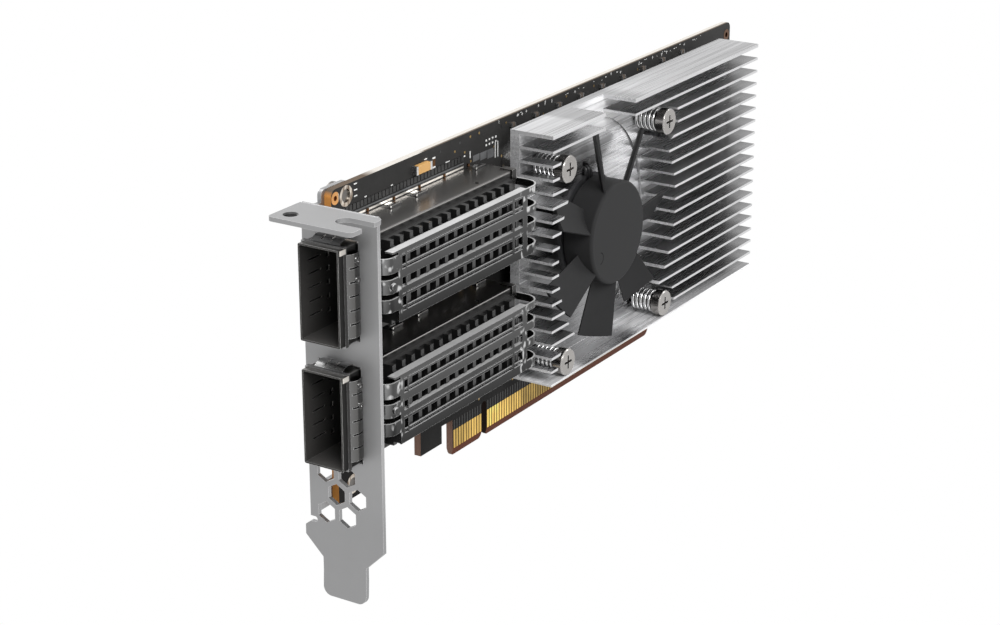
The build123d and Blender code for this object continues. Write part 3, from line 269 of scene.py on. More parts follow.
# Plastics, ceramics and epoxies with a fine grain, some with painted highlights on their edges
PLAIN_MOULDED = {
    "connector_plastic": ((0.008, 0.008, 0.009), 0.5, {}),
    "port_sink_black": ((0.008, 0.008, 0.008), 0.36, {"coat": 0.15, "edge": 1.0}),
    "substrate_green": ((0.03, 0.10, 0.05), 0.4, {}),
    "pad_grey": ((0.35, 0.36, 0.40), 0.8, {}),
    "magnet_ferrite": ((0.03, 0.028, 0.027), 0.6, {}),
    "motor_base_plastic": ((0.03, 0.03, 0.032), 0.5, {}),
    "motor_board_green": ((0.02, 0.12, 0.06), 0.4, {}),
    "lead_insulation": ((0.02, 0.02, 0.022), 0.35, {"coat": 0.2}),
    "header_nylon": ((0.7, 0.67, 0.6), 0.45, {}),
    "inductor_ferrite": ((0.06, 0.06, 0.062), 0.7, {}),
    "stage_epoxy": ((0.018, 0.018, 0.02), 0.55, {"edge": 1.0}),
    "bulk_tantalum": ((0.5, 0.3, 0.05), 0.45, {"edge": 1.0}),
    "ceramic_tan": ((0.085, 0.066, 0.052), 0.5, {"edge": 0.6}),
    "memory_epoxy": ((0.015, 0.015, 0.016), 0.5, {"edge": 1.0}),
    "input_capacitor_orange": ((0.58, 0.33, 0.11), 0.45, {"edge": 0.6}),
    "mark_white": ((0.75, 0.75, 0.74), 0.6, {"mottle": 0.1}),
    "trace_black": ((0.022, 0.021, 0.020), 0.32, {"mottle": 0.4}),
    # Black for the cage's teeth and the strip's small marks, and painted shade in the seam gap and under
    # the latches
    "tooth_black": ((0.006, 0.006, 0.006), 0.4, {"edge": 0.5}),
    "pale_pad": ((0.10, 0.102, 0.105), 0.45, {"mottle": 1.2, "scale": 420.0}),
}

# The studio: each lamp's place, side and power, all aimed at one point, and the photo's camera
LAMPS = (
    ("key_light", (-0.55, -0.9, 0.95), 0.7, 16.0),
    ("side_light", (0.9, -0.9, 0.5), 0.8, 7.0),
    ("top_light", (0.0, 0.3, 1.2), 0.8, 9.0),
    ("back_light", (0.2, 1.1, 0.4), 0.8, 5.0),
)
LAMP_AIM = (0.02, 0, 0.03)
AMBIENT = 0.45
FLOOR_REACH = 3.0
FLOOR_HEIGHT = -0.35
CAMERA_LENS = 82.5615
CAMERA_PLACE = (-0.379606, -0.244940, 0.196147)
CAMERA_RIGHT = (0.535599, -0.844472, -0.000527)
CAMERA_DOWN = (-0.294257, -0.186045, -0.937443)
CAMERA_AHEAD = (0.791547, 0.502249, -0.348138)


# What a user would change

class CardFinishSettings(bpy.types.PropertyGroup):
    bracket_colour: FloatVectorProperty(
        name="Bracket", description="Colour of the bracket's plated steel",
        subtype="COLOR", size=3, min=0, max=1, default=(0.33, 0.33, 0.333),
    )
    board_colour: FloatVectorProperty(
        name="Board", description="Colour of the board's solder mask",
        subtype="COLOR", size=3, min=0, max=1, default=(0.031, 0.0305, 0.030),
    )
    sink_colour: FloatVectorProperty(
        name="Heat sink", description="Colour of the brushed aluminium",
        subtype="COLOR", size=3, min=0, max=1, default=(0.66, 0.66, 0.67),
    )
    fan_colour: FloatVectorProperty(
        name="Fan", description="Colour of the fan's moulded plastic",
        subtype="COLOR", size=3, min=0, max=1, default=(0.027, 0.027, 0.0275),
    )
    gold_colour: FloatVectorProperty(
        name="Contacts", description="Colour of the plated edge contacts",
        subtype="COLOR", size=3, min=0, max=1, default=(0.86, 0.56, 0.14),
    )
    brush_depth: FloatProperty(
        name="Brushing", description="Depth of the brushed lines on the heat sink",
        min=0, max=1, default=0.75, subtype="FACTOR",
    )


class CardTrimSettings(bpy.types.PropertyGroup):
    seed: IntProperty(name="Seed", description="Where the small marks fall", default=11, min=0)
    via_count: IntProperty(
        name="Vias", description="Plated vias on each face", default=260, min=0, max=2000,
    )
    via_radius: FloatProperty(
        name="Via radius", description="Radius of a via's ring",
        default=0.28 * MM, unit="LENGTH", precision=5,
    )
    mark_thickness: FloatProperty(
        name="Mark thickness", description="How far printed marks stand off the board",
        default=0.02 * MM, unit="LENGTH", precision=5,
    )
    tooth_pitch: FloatProperty(
        name="Tooth pitch", description="Pitch of the small teeth along the upper cage",
        default=1.2 * MM, unit="LENGTH", precision=5,
    )
    trace_pitch: FloatProperty(
        name="Trace pitch", description="Pitch of the traces above the edge contacts",
        default=1.0 * MM, unit="LENGTH", precision=5,
    )


# Shader groups

def new_group(name, inputs, outputs):
    """An empty shader group with named sockets."""
    group = bpy.data.node_groups.new(name, "ShaderNodeTree")
    for label, kind, value in inputs:
        socket = group.interface.new_socket(label, in_out="INPUT", socket_type=kind)
        socket.default_value = value
    for label, kind in outputs:
        group.interface.new_socket(label, in_out="OUTPUT", socket_type=kind)
    return group, group.nodes.new("NodeGroupInput"), group.nodes.new("NodeGroupOutput")


def math_node(tree, operation, first, second=None, clamp=False):
    """One step of arithmetic between sockets or numbers."""
    node = tree.nodes.new("ShaderNodeMath")
    node.operation = operation
    node.use_clamp = clamp
    for index, value in enumerate((first, second)):
        if value is None:
            continue
        if isinstance(value, (int, float)):
            node.inputs[index].default_value = value
        else:
            tree.links.new(value, node.inputs[index])
    return node.outputs[0]


def product(tree, *factors):
    """Sockets and numbers multiplied together."""
    result = factors[0]
    for factor in factors[1:]:
        result = math_node(tree, "MULTIPLY", result, factor)
    return result


def opposite(tree, mask):
    """One minus a mask."""
    return math_node(tree, "SUBTRACT", 1.0, mask)


def only_on(tree, mask, level):
    """A level where the mask is one, and one where it is nought."""
    return math_node(tree, "ADD", product(tree, mask, level), opposite(tree, mask))


def distance_from(tree, first, second, middle):
    """Distance of two coordinates from a middle point."""
    squares = []
    for value, place_on_axis in zip((first, second), middle):
        off = math_node(tree, "SUBTRACT", value, place_on_axis)
        squares.append(product(tree, off, off))
    return math_node(tree, "SQRT", math_node(tree, "ADD", *squares))


def ramp_node(tree, value, low, high, out_low=0.0, out_high=1.0):
    """Maps a value's range to another, held at both ends."""
    node = tree.nodes.new("ShaderNodeMapRange")
    node.clamp = True
    for label, number in (("From Min", low), ("From Max", high), ("To Min", out_low), ("To Max", out_high)):
        node.inputs[label].default_value = number
    tree.links.new(value, node.inputs["Value"])
    return node.outputs["Result"]


def band(tree, value, tones):
    """A ramp along an axis, from one of the tones named at the top."""
    start, end, *levels = tones
    return ramp_node(tree, value, start * MM, end * MM, *levels)


def stretched_noise(tree, vector, stretch, scale, detail):
    """Noise drawn out along an axis."""
    mapping = tree.nodes.new("ShaderNodeMapping")
    mapping.inputs["Scale"].default_value = stretch
    tree.links.new(vector, mapping.inputs["Vector"])
    noise = tree.nodes.new("ShaderNodeTexNoise")
    noise.inputs["Detail"].default_value = detail
    if isinstance(scale, (int, float)):
        noise.inputs["Scale"].default_value = scale
    else:
        tree.links.new(scale, noise.inputs["Scale"])
    tree.links.new(mapping.outputs["Vector"], noise.inputs["Vector"])
    return noise.outputs["Fac"]


def object_vector(tree):
    """The point in the part's own coordinates."""
    return tree.nodes.new("ShaderNodeTexCoord").outputs["Object"]


def brushed_group(name, stretch):
    """Fine lines along one axis: a tone value and a height."""
    group, inside, outside = new_group(
        name,
        [("Scale", "NodeSocketFloat", 900.0), ("Contrast", "NodeSocketFloat", 0.3)],
        [("Tone", "NodeSocketFloat"), ("Height", "NodeSocketFloat")],
    )
    vector = object_vector(group)
    fine = stretched_noise(group, vector, stretch, inside.outputs["Scale"], 4.0)
    broad = stretched_noise(group, vector, stretch, 160.0, 2.0)
    spread = math_node(group, "SUBTRACT", math_node(group, "ADD", fine, broad), 1.0)
    spread = product(group, spread, inside.outputs["Contrast"])
    group.links.new(math_node(group, "ADD", spread, 1.0), outside.inputs["Tone"])
    group.links.new(fine, outside.inputs["Height"])
    return group


def mottle_group():
    """Soft cloudy variation about one."""
    group, inside, outside = new_group(
        "soft_mottle",
        [("Scale", "NodeSocketFloat", 300.0), ("Contrast", "NodeSocketFloat", 0.2)],
        [("Tone", "NodeSocketFloat")],
    )
    cloud = stretched_noise(group, object_vector(group), (1, 1, 1), inside.outputs["Scale"], 5.0)
    cloud = product(group, math_node(group, "SUBTRACT", cloud, 0.5), inside.outputs["Contrast"])
    group.links.new(math_node(group, "ADD", cloud, 1.0), outside.inputs["Tone"])
    return group


def edge_group():
    """A mask for painted highlights where a surface turns sharply."""
    group, inside, outside = new_group(
        "painted_edge_highlight",
        [("Sharpness", "NodeSocketFloat", 6.0)],
        [("Mask", "NodeSocketFloat")],
    )
    bevel = group.nodes.new("ShaderNodeBevel")
    bevel.samples = 4
    bevel.inputs["Radius"].default_value = 0.12 * MM
    geometry = group.nodes.new("ShaderNodeNewGeometry")
    dot = group.nodes.new("ShaderNodeVectorMath")
    dot.operation = "DOT_PRODUCT"
    group.links.new(bevel.outputs["Normal"], dot.inputs[0])
    group.links.new(geometry.outputs["Normal"], dot.inputs[1])
    turn = math_node(group, "SUBTRACT", 1.0, dot.outputs["Value"])
    mask = math_node(group, "MULTIPLY", turn, inside.outputs["Sharpness"], clamp=True)
    group.links.new(mask, outside.inputs["Mask"])
    return group


def facing_group():
    """How far a surface faces along each axis of the card, without sign."""
    group, _, outside = new_group(
        "card_facing", [],
        [("Along X", "NodeSocketFloat"), ("Along Y", "NodeSocketFloat"), ("Along Z", "NodeSocketFloat"),
         ("Up", "NodeSocketFloat")],
    )
    geometry = group.nodes.new("ShaderNodeNewGeometry")
    turn = group.nodes.new("ShaderNodeVectorTransform")
    turn.vector_type = "NORMAL"
    turn.convert_from = "WORLD"
    turn.convert_to = "OBJECT"
    group.links.new(geometry.outputs["Normal"], turn.inputs[0])
    split = group.nodes.new("ShaderNodeSeparateXYZ")
    group.links.new(turn.outputs[0], split.inputs[0])
    for axis in "XYZ":
        group.links.new(math_node(group, "ABSOLUTE", split.outputs[axis]), outside.inputs["Along " + axis])
    group.links.new(split.outputs["Z"], outside.inputs["Up"])
    return group


def place(tree, group, **values):
    """Puts a shader group into a material with its own values."""
    node = tree.nodes.new("ShaderNodeGroup")
    node.node_tree = group
    for label, value in values.items():
        node.inputs[label.replace("_", " ")].default_value = value
    return node


def new_material(name, colour, metallic=0.0, roughness=0.5, coat=0.0, specular=0.5):
    """A material with plain values on its shader; returns it, its tree and the shader."""
    material = bpy.data.materials.new(name)
    material.use_nodes = True
    tree = material.node_tree
    shader = tree.nodes["Principled BSDF"]
    shader.inputs["Base Color"].default_value = (*colour, 1)
    shader.inputs["Metallic"].default_value = metallic
    shader.inputs["Roughness"].default_value = roughness
    shader.inputs["Coat Weight"].default_value = coat
    shader.inputs["Specular IOR Level"].default_value = specular
    material.diffuse_color = (*colour, 1)
    return material, tree, shader


def mixed(tree, factor, first, second):
    """A colour between two, each a socket or a plain colour."""
    node = tree.nodes.new("ShaderNodeMix")
    node.data_type = "RGBA"
    for index, value in ((6, first), (7, second)):
        if isinstance(value, tuple):
            node.inputs[index].default_value = (*value, 1)
        else:
            tree.links.new(value, node.inputs[index])
    tree.links.new(factor, node.inputs[0])
    return node.outputs[2]


def toned(tree, colour, tone):
    """A colour made lighter or darker by a value."""
    node = tree.nodes.new("ShaderNodeVectorMath")
    node.operation = "SCALE"
    if isinstance(colour, tuple):
        node.inputs[0].default_value = colour
    else:
        tree.links.new(colour, node.inputs[0])
    tree.links.new(tone, node.inputs["Scale"])
    return node.outputs[0]


def bumped(tree, shader, height, strength, distance):
    """Sets a height as the shader's relief."""
    node = tree.nodes.new("ShaderNodeBump")
    node.inputs["Strength"].default_value = strength
    node.inputs["Distance"].default_value = distance
    tree.links.new(height, node.inputs["Height"])
    tree.links.new(node.outputs["Normal"], shader.inputs["Normal"])


def position(tree):
    """The point's own X, Y and Z on the card."""
    split = tree.nodes.new("ShaderNodeSeparateXYZ")
    tree.links.new(object_vector(tree), split.inputs[0])
    return split.outputs


def wire(tree, shader, **sockets):
    """Links sockets to the shader's inputs, named with underscores for spaces."""
    for label, socket in sockets.items():
        tree.links.new(socket, shader.inputs[label.replace("_", " ")])


def mottled(tree, groups, scale, contrast):
    """A soft cloudy tone about one."""
    return place(tree, groups["mottle"], Scale=scale, Contrast=contrast).outputs["Tone"]


def edged(tree, groups, sharpness, colour, edge_highlight_colour):
    """A colour with another one painted along its sharp edges as a highlight."""
    if not sharpness:
        return colour
    mask = place(tree, groups["edge"], Sharpness=sharpness).outputs["Mask"]
    return mixed(tree, mask, colour, edge_highlight_colour)


# Finishes, one for each of the record's slots

def metal(name, groups, colour, roughness, mottle=0.12, scale=260.0, edge=0.0):
    """Plain metal with a soft variation and, where asked, painted highlights on its edges."""
    material, tree, shader = new_material(name, colour, metallic=1.0, roughness=roughness)
    tone = mottled(tree, groups, scale, mottle)
    result = edged(tree, groups, edge, toned(tree, colour, tone), (0.9, 0.9, 0.9))
    wire(tree, shader, Base_Color=result, Roughness=product(tree, tone, roughness))
    return material


def rail_shade(tree):
    """Painted shade: rails get darker down each clip."""
    height = math_node(tree, "SUBTRACT", position(tree)["Z"], CLIP_LOW.z)
    lower = math_node(tree, "ADD", height, 2 * PORT_OFFSET)
    on_upper = band(tree, height, UPPER_CLIP)
    upper_tone = product(tree, band(tree, height, CLIP_RAILS), on_upper)
    lower_tone = product(tree, band(tree, lower, CLIP_RAILS), opposite(tree, on_upper))
    return math_node(tree, "ADD", upper_tone, lower_tone)


def facing_shaded_metal(name, groups, top, front, side, roughness, mottle=0.2, scale=200.0, edge=0.0,
                edge_highlight_colour=(0.9, 0.9, 0.9), top_metallic=1.0, glints=None):
    """Metal with painted light and shade by facing: its level faces, front and back faces and end faces
    have their own tones.

    With glints, it has a clip's lower rails darkened with painted shade, and painted glints, bright spots,
    outside those two X places.
    """
    material, tree, shader = new_material(name, front, metallic=1.0, roughness=roughness)
    facing = place(tree, groups["facing"]).outputs
    # Painted light and shade: upward faces take the top colour, faces along X the side colour, the rest the
    # front colour
    up = ramp_node(tree, facing["Up"], *FACES_UP)
    result = mixed(tree, ramp_node(tree, facing["Along X"], 0.35, 0.95), front, side)
    tone = mottled(tree, groups, scale, mottle)
    if glints:
        result = toned(tree, result, rail_shade(tree))
    result = toned(tree, mixed(tree, up, result, top), tone)
    result = edged(tree, groups, edge, result, edge_highlight_colour)
    if glints:
        # Painted glints: bright spots beyond the two X places
        first, last = glints
        along = position(tree)["X"]
        near = ramp_node(tree, along, first, first + 0.5 * MM, 1.0, 0.0)
        far = ramp_node(tree, along, last - 0.5 * MM, last)
        noise = stretched_noise(tree, object_vector(tree), (1.0, 1.0, 0.6), 900.0, 1.0)
        bright = ramp_node(tree, noise, 0.56, 0.70)
        painted_glints = product(tree, math_node(tree, "MAXIMUM", near, far), bright)
        result = mixed(tree, painted_glints, result, (0.62, 0.62, 0.62))
    rough = product(tree, tone, roughness)
    if top_metallic < 1:
        wire(tree, shader, Metallic=ramp_node(tree, up, 0.0, 1.0, 1.0, top_metallic))
        rough = math_node(tree, "ADD", rough, ramp_node(tree, up, 0.0, 1.0, 0.0, 0.3))
    wire(tree, shader, Base_Color=result, Roughness=rough)
    return material


def moulded(name, groups, colour, roughness, mottle=0.25, scale=500.0, bump=0.08, coat=0.0, edge=0.0,
            specular=0.5):
    """Plastic, ceramic or epoxy with a fine grain and, where asked, painted highlights on its edges."""
    material, tree, shader = new_material(name, colour, roughness=roughness, coat=coat, specular=specular)
    tone = mottled(tree, groups, scale, mottle)
    light = tuple(min(1.0, channel * 2.2 + 0.03) for channel in colour)
    result = edged(tree, groups, edge, toned(tree, colour, tone), light)
    wire(tree, shader, Base_Color=result, Roughness=product(tree, tone, roughness))
    grain = stretched_noise(tree, object_vector(tree), (1, 1, 1), scale * 6, 3.0)
    bumped(tree, shader, grain, bump, 0.03 * MM)
    return material


def board_mask(name, groups, colour):
    """Solder mask on both faces, with the laminate's brown edge, painted light on the top edge and painted
    shade on the lower edges.
    """
    material, tree, shader = new_material(name, colour, roughness=0.38, specular=0.03)
    facing = place(tree, groups["facing"]).outputs
    point = position(tree)
    weave = stretched_noise(tree, object_vector(tree), (1, 6, 1), 900.0, 3.0)

    # Lower edges and ends: laminate with painted shade on the lower edges, more painted shade in the notch,
    # copper by the bracket
    on_end = ramp_node(tree, facing["Along X"], 0.5, 0.8)
    low_edge = mixed(tree, on_end, LOW_LAMINATE, mixed(tree, weave, *END_LAMINATE))
    in_notch = band(tree, math_node(tree, "ABSOLUTE", point["X"]), NOTCH)
    low_edge = mixed(tree, in_notch, low_edge, NOTCH_DARK)
    copper_end = ramp_node(tree, point["X"], BOARD_LOW.x + 2.0 * MM, BOARD_LOW.x + 1.2 * MM)
    low_edge = mixed(tree, copper_end, low_edge, EDGE_COPPER)

    # Top edge: laminate made pale with painted light, with painted shade by the bracket, and darker along
    # the front
    top_edge = mixed(tree, weave, *TOP_LAMINATE)
    top_edge = mixed(tree, band(tree, point["X"], TOP_BY_BRACKET_SPAN), top_edge, TOP_BY_BRACKET)
    front_band = product(
        tree, band(tree, point["X"], TOP_BAND_SPAN), band(tree, point["Y"], TOP_BAND_DEPTH))
    top_edge = mixed(tree, front_band, top_edge, TOP_FRONT_BAND)
    laminate = mixed(tree, ramp_node(tree, facing["Up"], 0.2, 0.8), low_edge, top_edge)

    tone = product(tree, mottled(tree, groups, 140.0, 0.7), band(tree, point["Z"], BOARD_LOW_TONE))
    mask = mixed(tree, band(tree, point["Z"], BOARD_BARE), toned(tree, colour, tone), LOW_BARE_FACE)
    on_edge = ramp_node(tree, facing["Along Y"], 0.9, 0.7)
    wire(tree, shader, Base_Color=mixed(tree, on_edge, mask, laminate),
         Roughness=ramp_node(tree, on_edge, 0.0, 1.0, 0.38, 0.8))

    lines = tree.nodes.new("ShaderNodeTexBrick")
    lines.inputs["Scale"].default_value = 90.0
    lines.inputs["Mortar Size"].default_value = 0.06
    turn = tree.nodes.new("ShaderNodeMapping")
    turn.inputs["Rotation"].default_value = (math.radians(90), 0, 0)
    tree.links.new(object_vector(tree), turn.inputs["Vector"])
    tree.links.new(turn.outputs["Vector"], lines.inputs["Vector"])
    bumped(tree, shader, lines.outputs["Fac"], 0.12, 0.03 * MM)
    return material


def cage_steel(name, groups):
    """Satin plated sheet outside, with painted light on its upward faces, and painted shade, near black,
    inside the ports.
    """
    material, tree, shader = new_material(name, (0.2, 0.195, 0.19), metallic=1.0, roughness=0.28)
    facing = place(tree, groups["facing"]).outputs
    point = position(tree)
    off_middle = math_node(tree, "ABSOLUTE", math_node(tree, "SUBTRACT", point["Z"], PORT_MIDDLE))
    off_port = math_node(tree, "ABSOLUTE", math_node(tree, "SUBTRACT", off_middle, PORT_OFFSET))
    depth = -CAGES[0][0].y - CORNER_TAB_RISE
    inside = product(
        tree,
        ramp_node(tree, off_port, PORT_HALF - PORT_SKIN, PORT_HALF - PORT_DARK),
        ramp_node(tree, point["Y"], -PORT_SKIN, -PORT_DARK),
        ramp_node(tree, point["Y"], PORT_SKIN - depth, PORT_DARK - depth),
    )
    up = ramp_node(tree, facing["Up"], *FACES_UP)
    # Painted light: upward faces lighter than the rest, with painted highlights along the sharp edges
    outer = mixed(tree, up, (0.045, 0.044, 0.043), (0.21, 0.203, 0.196))
    outer = toned(tree, outer, mottled(tree, groups, 120.0, 0.3))
    outer = edged(tree, groups, 5.0, outer, (0.85, 0.84, 0.82))
    # Painted shade inside the ports, darkest on the faces that look along X
    wells = ramp_node(tree, facing["Along X"], *FACES)
    dark = mixed(tree, wells, (0.045, 0.043, 0.041), (0.004, 0.004, 0.004))
    wire(tree, shader, Base_Color=mixed(tree, inside, outer, dark),
         Roughness=ramp_node(tree, inside, 0.0, 1.0, 0.28, 0.5), Metallic=opposite(tree, inside))
    return material


def sink_metal(name, groups, colour, contrast):
    """Brushed aluminium: lines along the fins, painted shade darkening them towards their roots, and
    painted light and shade along the sink.
    """
    material, tree, shader = new_material(name, colour, metallic=1.0, roughness=0.3)
    lines = place(tree, groups["brushed_x"], Scale=BRUSH_SCALE, Contrast=contrast).outputs
    cross_lines = place(tree, groups["brushed_y"], Scale=BRUSH_SCALE, Contrast=contrast).outputs
    facing = place(tree, groups["facing"]).outputs
    point = position(tree)

    # Masks of its faces
    on_fins = ramp_node(tree, facing["Along Z"], *FACES)
    cut_end = ramp_node(tree, facing["Along X"], *FACES)
    on_plate = product(
        tree, ramp_node(tree, facing["Along Y"], *FACES),
        ramp_node(tree, point["Y"], SINK_LOW.y + 1.0 * MM, SINK_LOW.y + 1.5 * MM),
    )
    below_top = ramp_node(tree, point["Z"], SINK_HIGH.z - 0.4 * MM, SINK_HIGH.z - 0.1 * MM, 1.0, 0.0)
    above_foot = ramp_node(tree, point["Z"], SINK_LOW.z + 0.7 * MM, SINK_LOW.z + 1.4 * MM)
    at_top = opposite(tree, below_top)
    at_foot = opposite(tree, above_foot)

    # Painted shade: fins are darker towards their roots, and the top, the foot and the right-hand ends
    # catch less light, painted as tones along X; the plate gets painted light and shade along Z and X
    depth = ramp_node(tree, point["Y"], SINK_LOW.y, SINK_LOW.y + 6.5 * MM, 0.0, 0.72)
    shade = product(tree, depth, band(tree, point["X"], FIN_SHADE), below_top, above_foot, on_fins)
    top_shade = math_node(tree, "MAXIMUM", band(tree, point["X"], SINK_TOP), below_top)
    foot_light_and_shade = math_node(
        tree, "ADD", band(tree, point["X"], SINK_FOOT), band(tree, point["X"], SINK_FOOT_RISE))
    foot_light_and_shade = math_node(tree, "MAXIMUM", foot_light_and_shade, above_foot)
    end_shade = math_node(tree, "MAXIMUM", band(tree, point["X"], FIN_ENDS), at_top)
    fin_light_and_shade = product(tree, foot_light_and_shade, end_shade, top_shade)
    plate_light_and_shade = product(
        tree, band(tree, point["Z"], PLATE_BY_HEIGHT), band(tree, point["X"], PLATE_BY_LENGTH))

    # Full streaks on the open faces, faint ones between the fins and on the cut ends
    open_face = math_node(tree, "MAXIMUM", math_node(tree, "MAXIMUM", on_plate, at_top), at_foot)
    strength = product(
        tree, ramp_node(tree, open_face, 0.0, 1.0, 0.45, 1.7),
        ramp_node(tree, cut_end, 0.0, 1.0, 1.0, 0.15))
    streaks = product(tree, math_node(tree, "SUBTRACT", lines["Tone"], 1.0), strength)
    # The tone also adds painted shade on the cut ends, which come out a little darker
    tone = product(
        tree, opposite(tree, shade), only_on(tree, on_fins, fin_light_and_shade),
        only_on(tree, on_plate, plate_light_and_shade), math_node(tree, "ADD", streaks, 1.0),
        only_on(tree, cut_end, product(tree, cross_lines["Tone"], 0.8)),
    )
    # Painted highlights along the sharp edges
    result = edged(tree, groups, 3.5, toned(tree, colour, tone), (0.92, 0.92, 0.92))
    wire(tree, shader, Base_Color=result, Roughness=product(tree, lines["Tone"], 0.28))

    # Cut ends, both ends of the foot and the plate's top are less of a mirror
    low_left = product(tree, band(tree, point["X"], FOOT_SOFT_LEFT), at_foot)
    low_right = product(tree, band(tree, point["X"], FOOT_SOFT_RIGHT), at_foot)
    high_plate = product(tree, on_plate, band(tree, point["Z"], PLATE_SOFT))
    softened = cut_end
    for mask in (low_left, low_right, high_plate):
        softened = math_node(tree, "MAXIMUM", softened, mask)
    hardness = ramp_node(tree, softened, 0.0, 1.0, 1.0, 0.35)
    hardness = math_node(tree, "SUBTRACT", hardness, product(tree, low_left, 0.3))
    wire(tree, shader, Metallic=hardness)
    bumped(tree, shader, product(tree, lines["Height"], opposite(tree, cut_end)), 0.25, 0.02 * MM)
    return material


def bracket_steel(name, groups, colour):
    """Satin plated sheet, softer over the part that holds the ports, with painted shade on the walls of the
    flange hole.
    """
    material = metal(name, groups, colour, 0.42, mottle=0.06, edge=2.5)
    tree = material.node_tree
    shader = tree.nodes["Principled BSDF"]
    source = shader.inputs["Base Color"].links[0].from_socket
    point = position(tree)
    in_hole = product(
        tree,
        band(tree, distance_from(tree, point["X"], point["Y"], FLANGE_HOLE), FLANGE_HOLE_EDGE),
        band(tree, point["Z"], FLANGE_HEIGHT),
        ramp_node(tree, place(tree, groups["facing"]).outputs["Along Z"], 0.9, 0.75),
    )
    soft = math_node(
        tree, "ADD", band(tree, point["Z"], BRACKET_OVER_PORTS), band(tree, point["Z"], BRACKET_OVER_TOP))
    wire(tree, shader, Base_Color=mixed(tree, in_hole, source, (0.05, 0.05, 0.05)), Metallic=soft)
    return material


def hole_plating(name, groups):
    """Copper rings, one tinned and the far one darker."""
    copper = (0.72, 0.36, 0.13)
    material, tree, shader = new_material(name, copper, metallic=1.0, roughness=0.3)
    along = position(tree)["X"]
    tinned = product(tree, band(tree, along, TINNED_START), band(tree, along, TINNED_END))
    ridges = stretched_noise(tree, object_vector(tree), (1.0, 1.0, 0.3), 1500.0, 1.0)
    tin = mixed(tree, ramp_node(tree, ridges, 0.38, 0.62), (0.20, 0.15, 0.11), (0.72, 0.66, 0.58))
    far_ring = band(tree, along, DARKER_RING)
    result = mixed(tree, far_ring, mixed(tree, tinned, copper, tin), (0.12, 0.055, 0.025))
    wire(tree, shader, Base_Color=toned(tree, result, mottled(tree, groups, 500.0, 0.5)))
    return material


def gold_plate(name, groups, colour):
    """Plated contacts, each with its own tone, with painted light rising along the row and painted shadow
    of the heat sink over the far ones.
    """
    material, tree, shader = new_material(name, colour, metallic=1.0, roughness=0.3)
    strips = stretched_noise(tree, object_vector(tree), (1, 0, 0.12), 640.0, 2.0)
    along = position(tree)["X"]
    level = product(
        tree, ramp_node(tree, strips, 0.35, 0.65, 0.72, 1.25), mottled(tree, groups, 420.0, 0.5),
        band(tree, along, CONTACTS_NEAR), band(tree, along, CONTACTS_FAR),
    )
    wire(tree, shader, Base_Color=toned(tree, colour, level))
    return material


def fan_plastic(name, groups, colour):
    """Moulded plastic with a small curved mould mark on the hub."""
    material = moulded(name, groups, colour, 0.5, mottle=0.12, bump=0.05, edge=0.8, specular=0.04)
    tree = material.node_tree
    shader = tree.nodes["Principled BSDF"]
    source = shader.inputs["Base Color"].links[0].from_socket
    point = position(tree)
    reach = distance_from(tree, point["X"], point["Z"], MOULD_MARK)
    off_ring = math_node(tree, "ABSOLUTE", math_node(tree, "SUBTRACT", reach, MOULD_MARK_RADIUS))
    mark = product(
        tree, band(tree, off_ring, MOULD_MARK_LINE),
        ramp_node(tree, point["X"], MOULD_MARK[0], MOULD_MARK[0] + 0.3 * MM),
        ramp_node(tree, place(tree, groups["facing"]).outputs["Along Y"], 0.9, 0.98),
    )
    wire(tree, shader, Base_Color=mixed(tree, mark, source, (0.001, 0.001, 0.001)))
    return material


def build_groups():
    """The shader groups that the finishes share."""
    return {
        "mottle": mottle_group(),
        "edge": edge_group(),
        "facing": facing_group(),
        "brushed_x": brushed_group("brushed_along_x", (0.02, 1, 1)),
        "brushed_y": brushed_group("brushed_along_y", (1, 0.03, 1)),
    }


def slot_of(node):
    """The record's material slot of a part."""
    for entry in frame["record"]["subparts"]:
        if entry["node"] == node:
            return entry["material_slot"]
    raise RuntimeError("no material slot for " + node)


def make_finishes(settings):
    """Every material by its name: the record's slots, and those of the added details."""
    groups = build_groups()
    made = {
        "steel_sheet": bracket_steel("steel_sheet", groups, tuple(settings.bracket_colour)),
        "board_mask": board_mask("board_mask", groups, tuple(settings.board_colour)),
        "gold": gold_plate("gold", groups, tuple(settings.gold_colour)),
        "hole_plating": hole_plating("hole_plating", groups),
        "cage_metal": cage_steel("cage_metal", groups),
        # Collar and clip: painted light and shade by facing and painted edge highlights; the clip also has
        # painted shade down its rails and painted glints at both ends
        "collar_metal": facing_shaded_metal(
            "collar_metal", groups, (0.30, 0.30, 0.30), (0.13, 0.128, 0.125), (0.2, 0.2, 0.2), 0.24,
            edge=4.0,
        ),
        "clip_metal": facing_shaded_metal(
            "clip_metal", groups, (0.46, 0.46, 0.46), (0.088, 0.088, 0.088), (0.3, 0.3, 0.3), 0.2,
            mottle=0.35, scale=180.0, edge=2.0, edge_highlight_colour=(0.6, 0.6, 0.6), top_metallic=0.2,
            glints=(CLIP_LOW.x + 4.5 * MM, CLIP_HIGH.x - 8.0 * MM),
        ),
        "sink_aluminium": sink_metal(
            "sink_aluminium", groups, tuple(settings.sink_colour), settings.brush_depth),
        "fan_plastic": fan_plastic("fan_plastic", groups, tuple(settings.fan_colour)),
    }
    for maker, table in ((metal, PLAIN_METALS), (moulded, PLAIN_MOULDED)):
        for name, (colour, roughness, options) in table.items():
            made[name] = maker(name, groups, colour, roughness, **options)
    return made


# Geometry Nodes trees

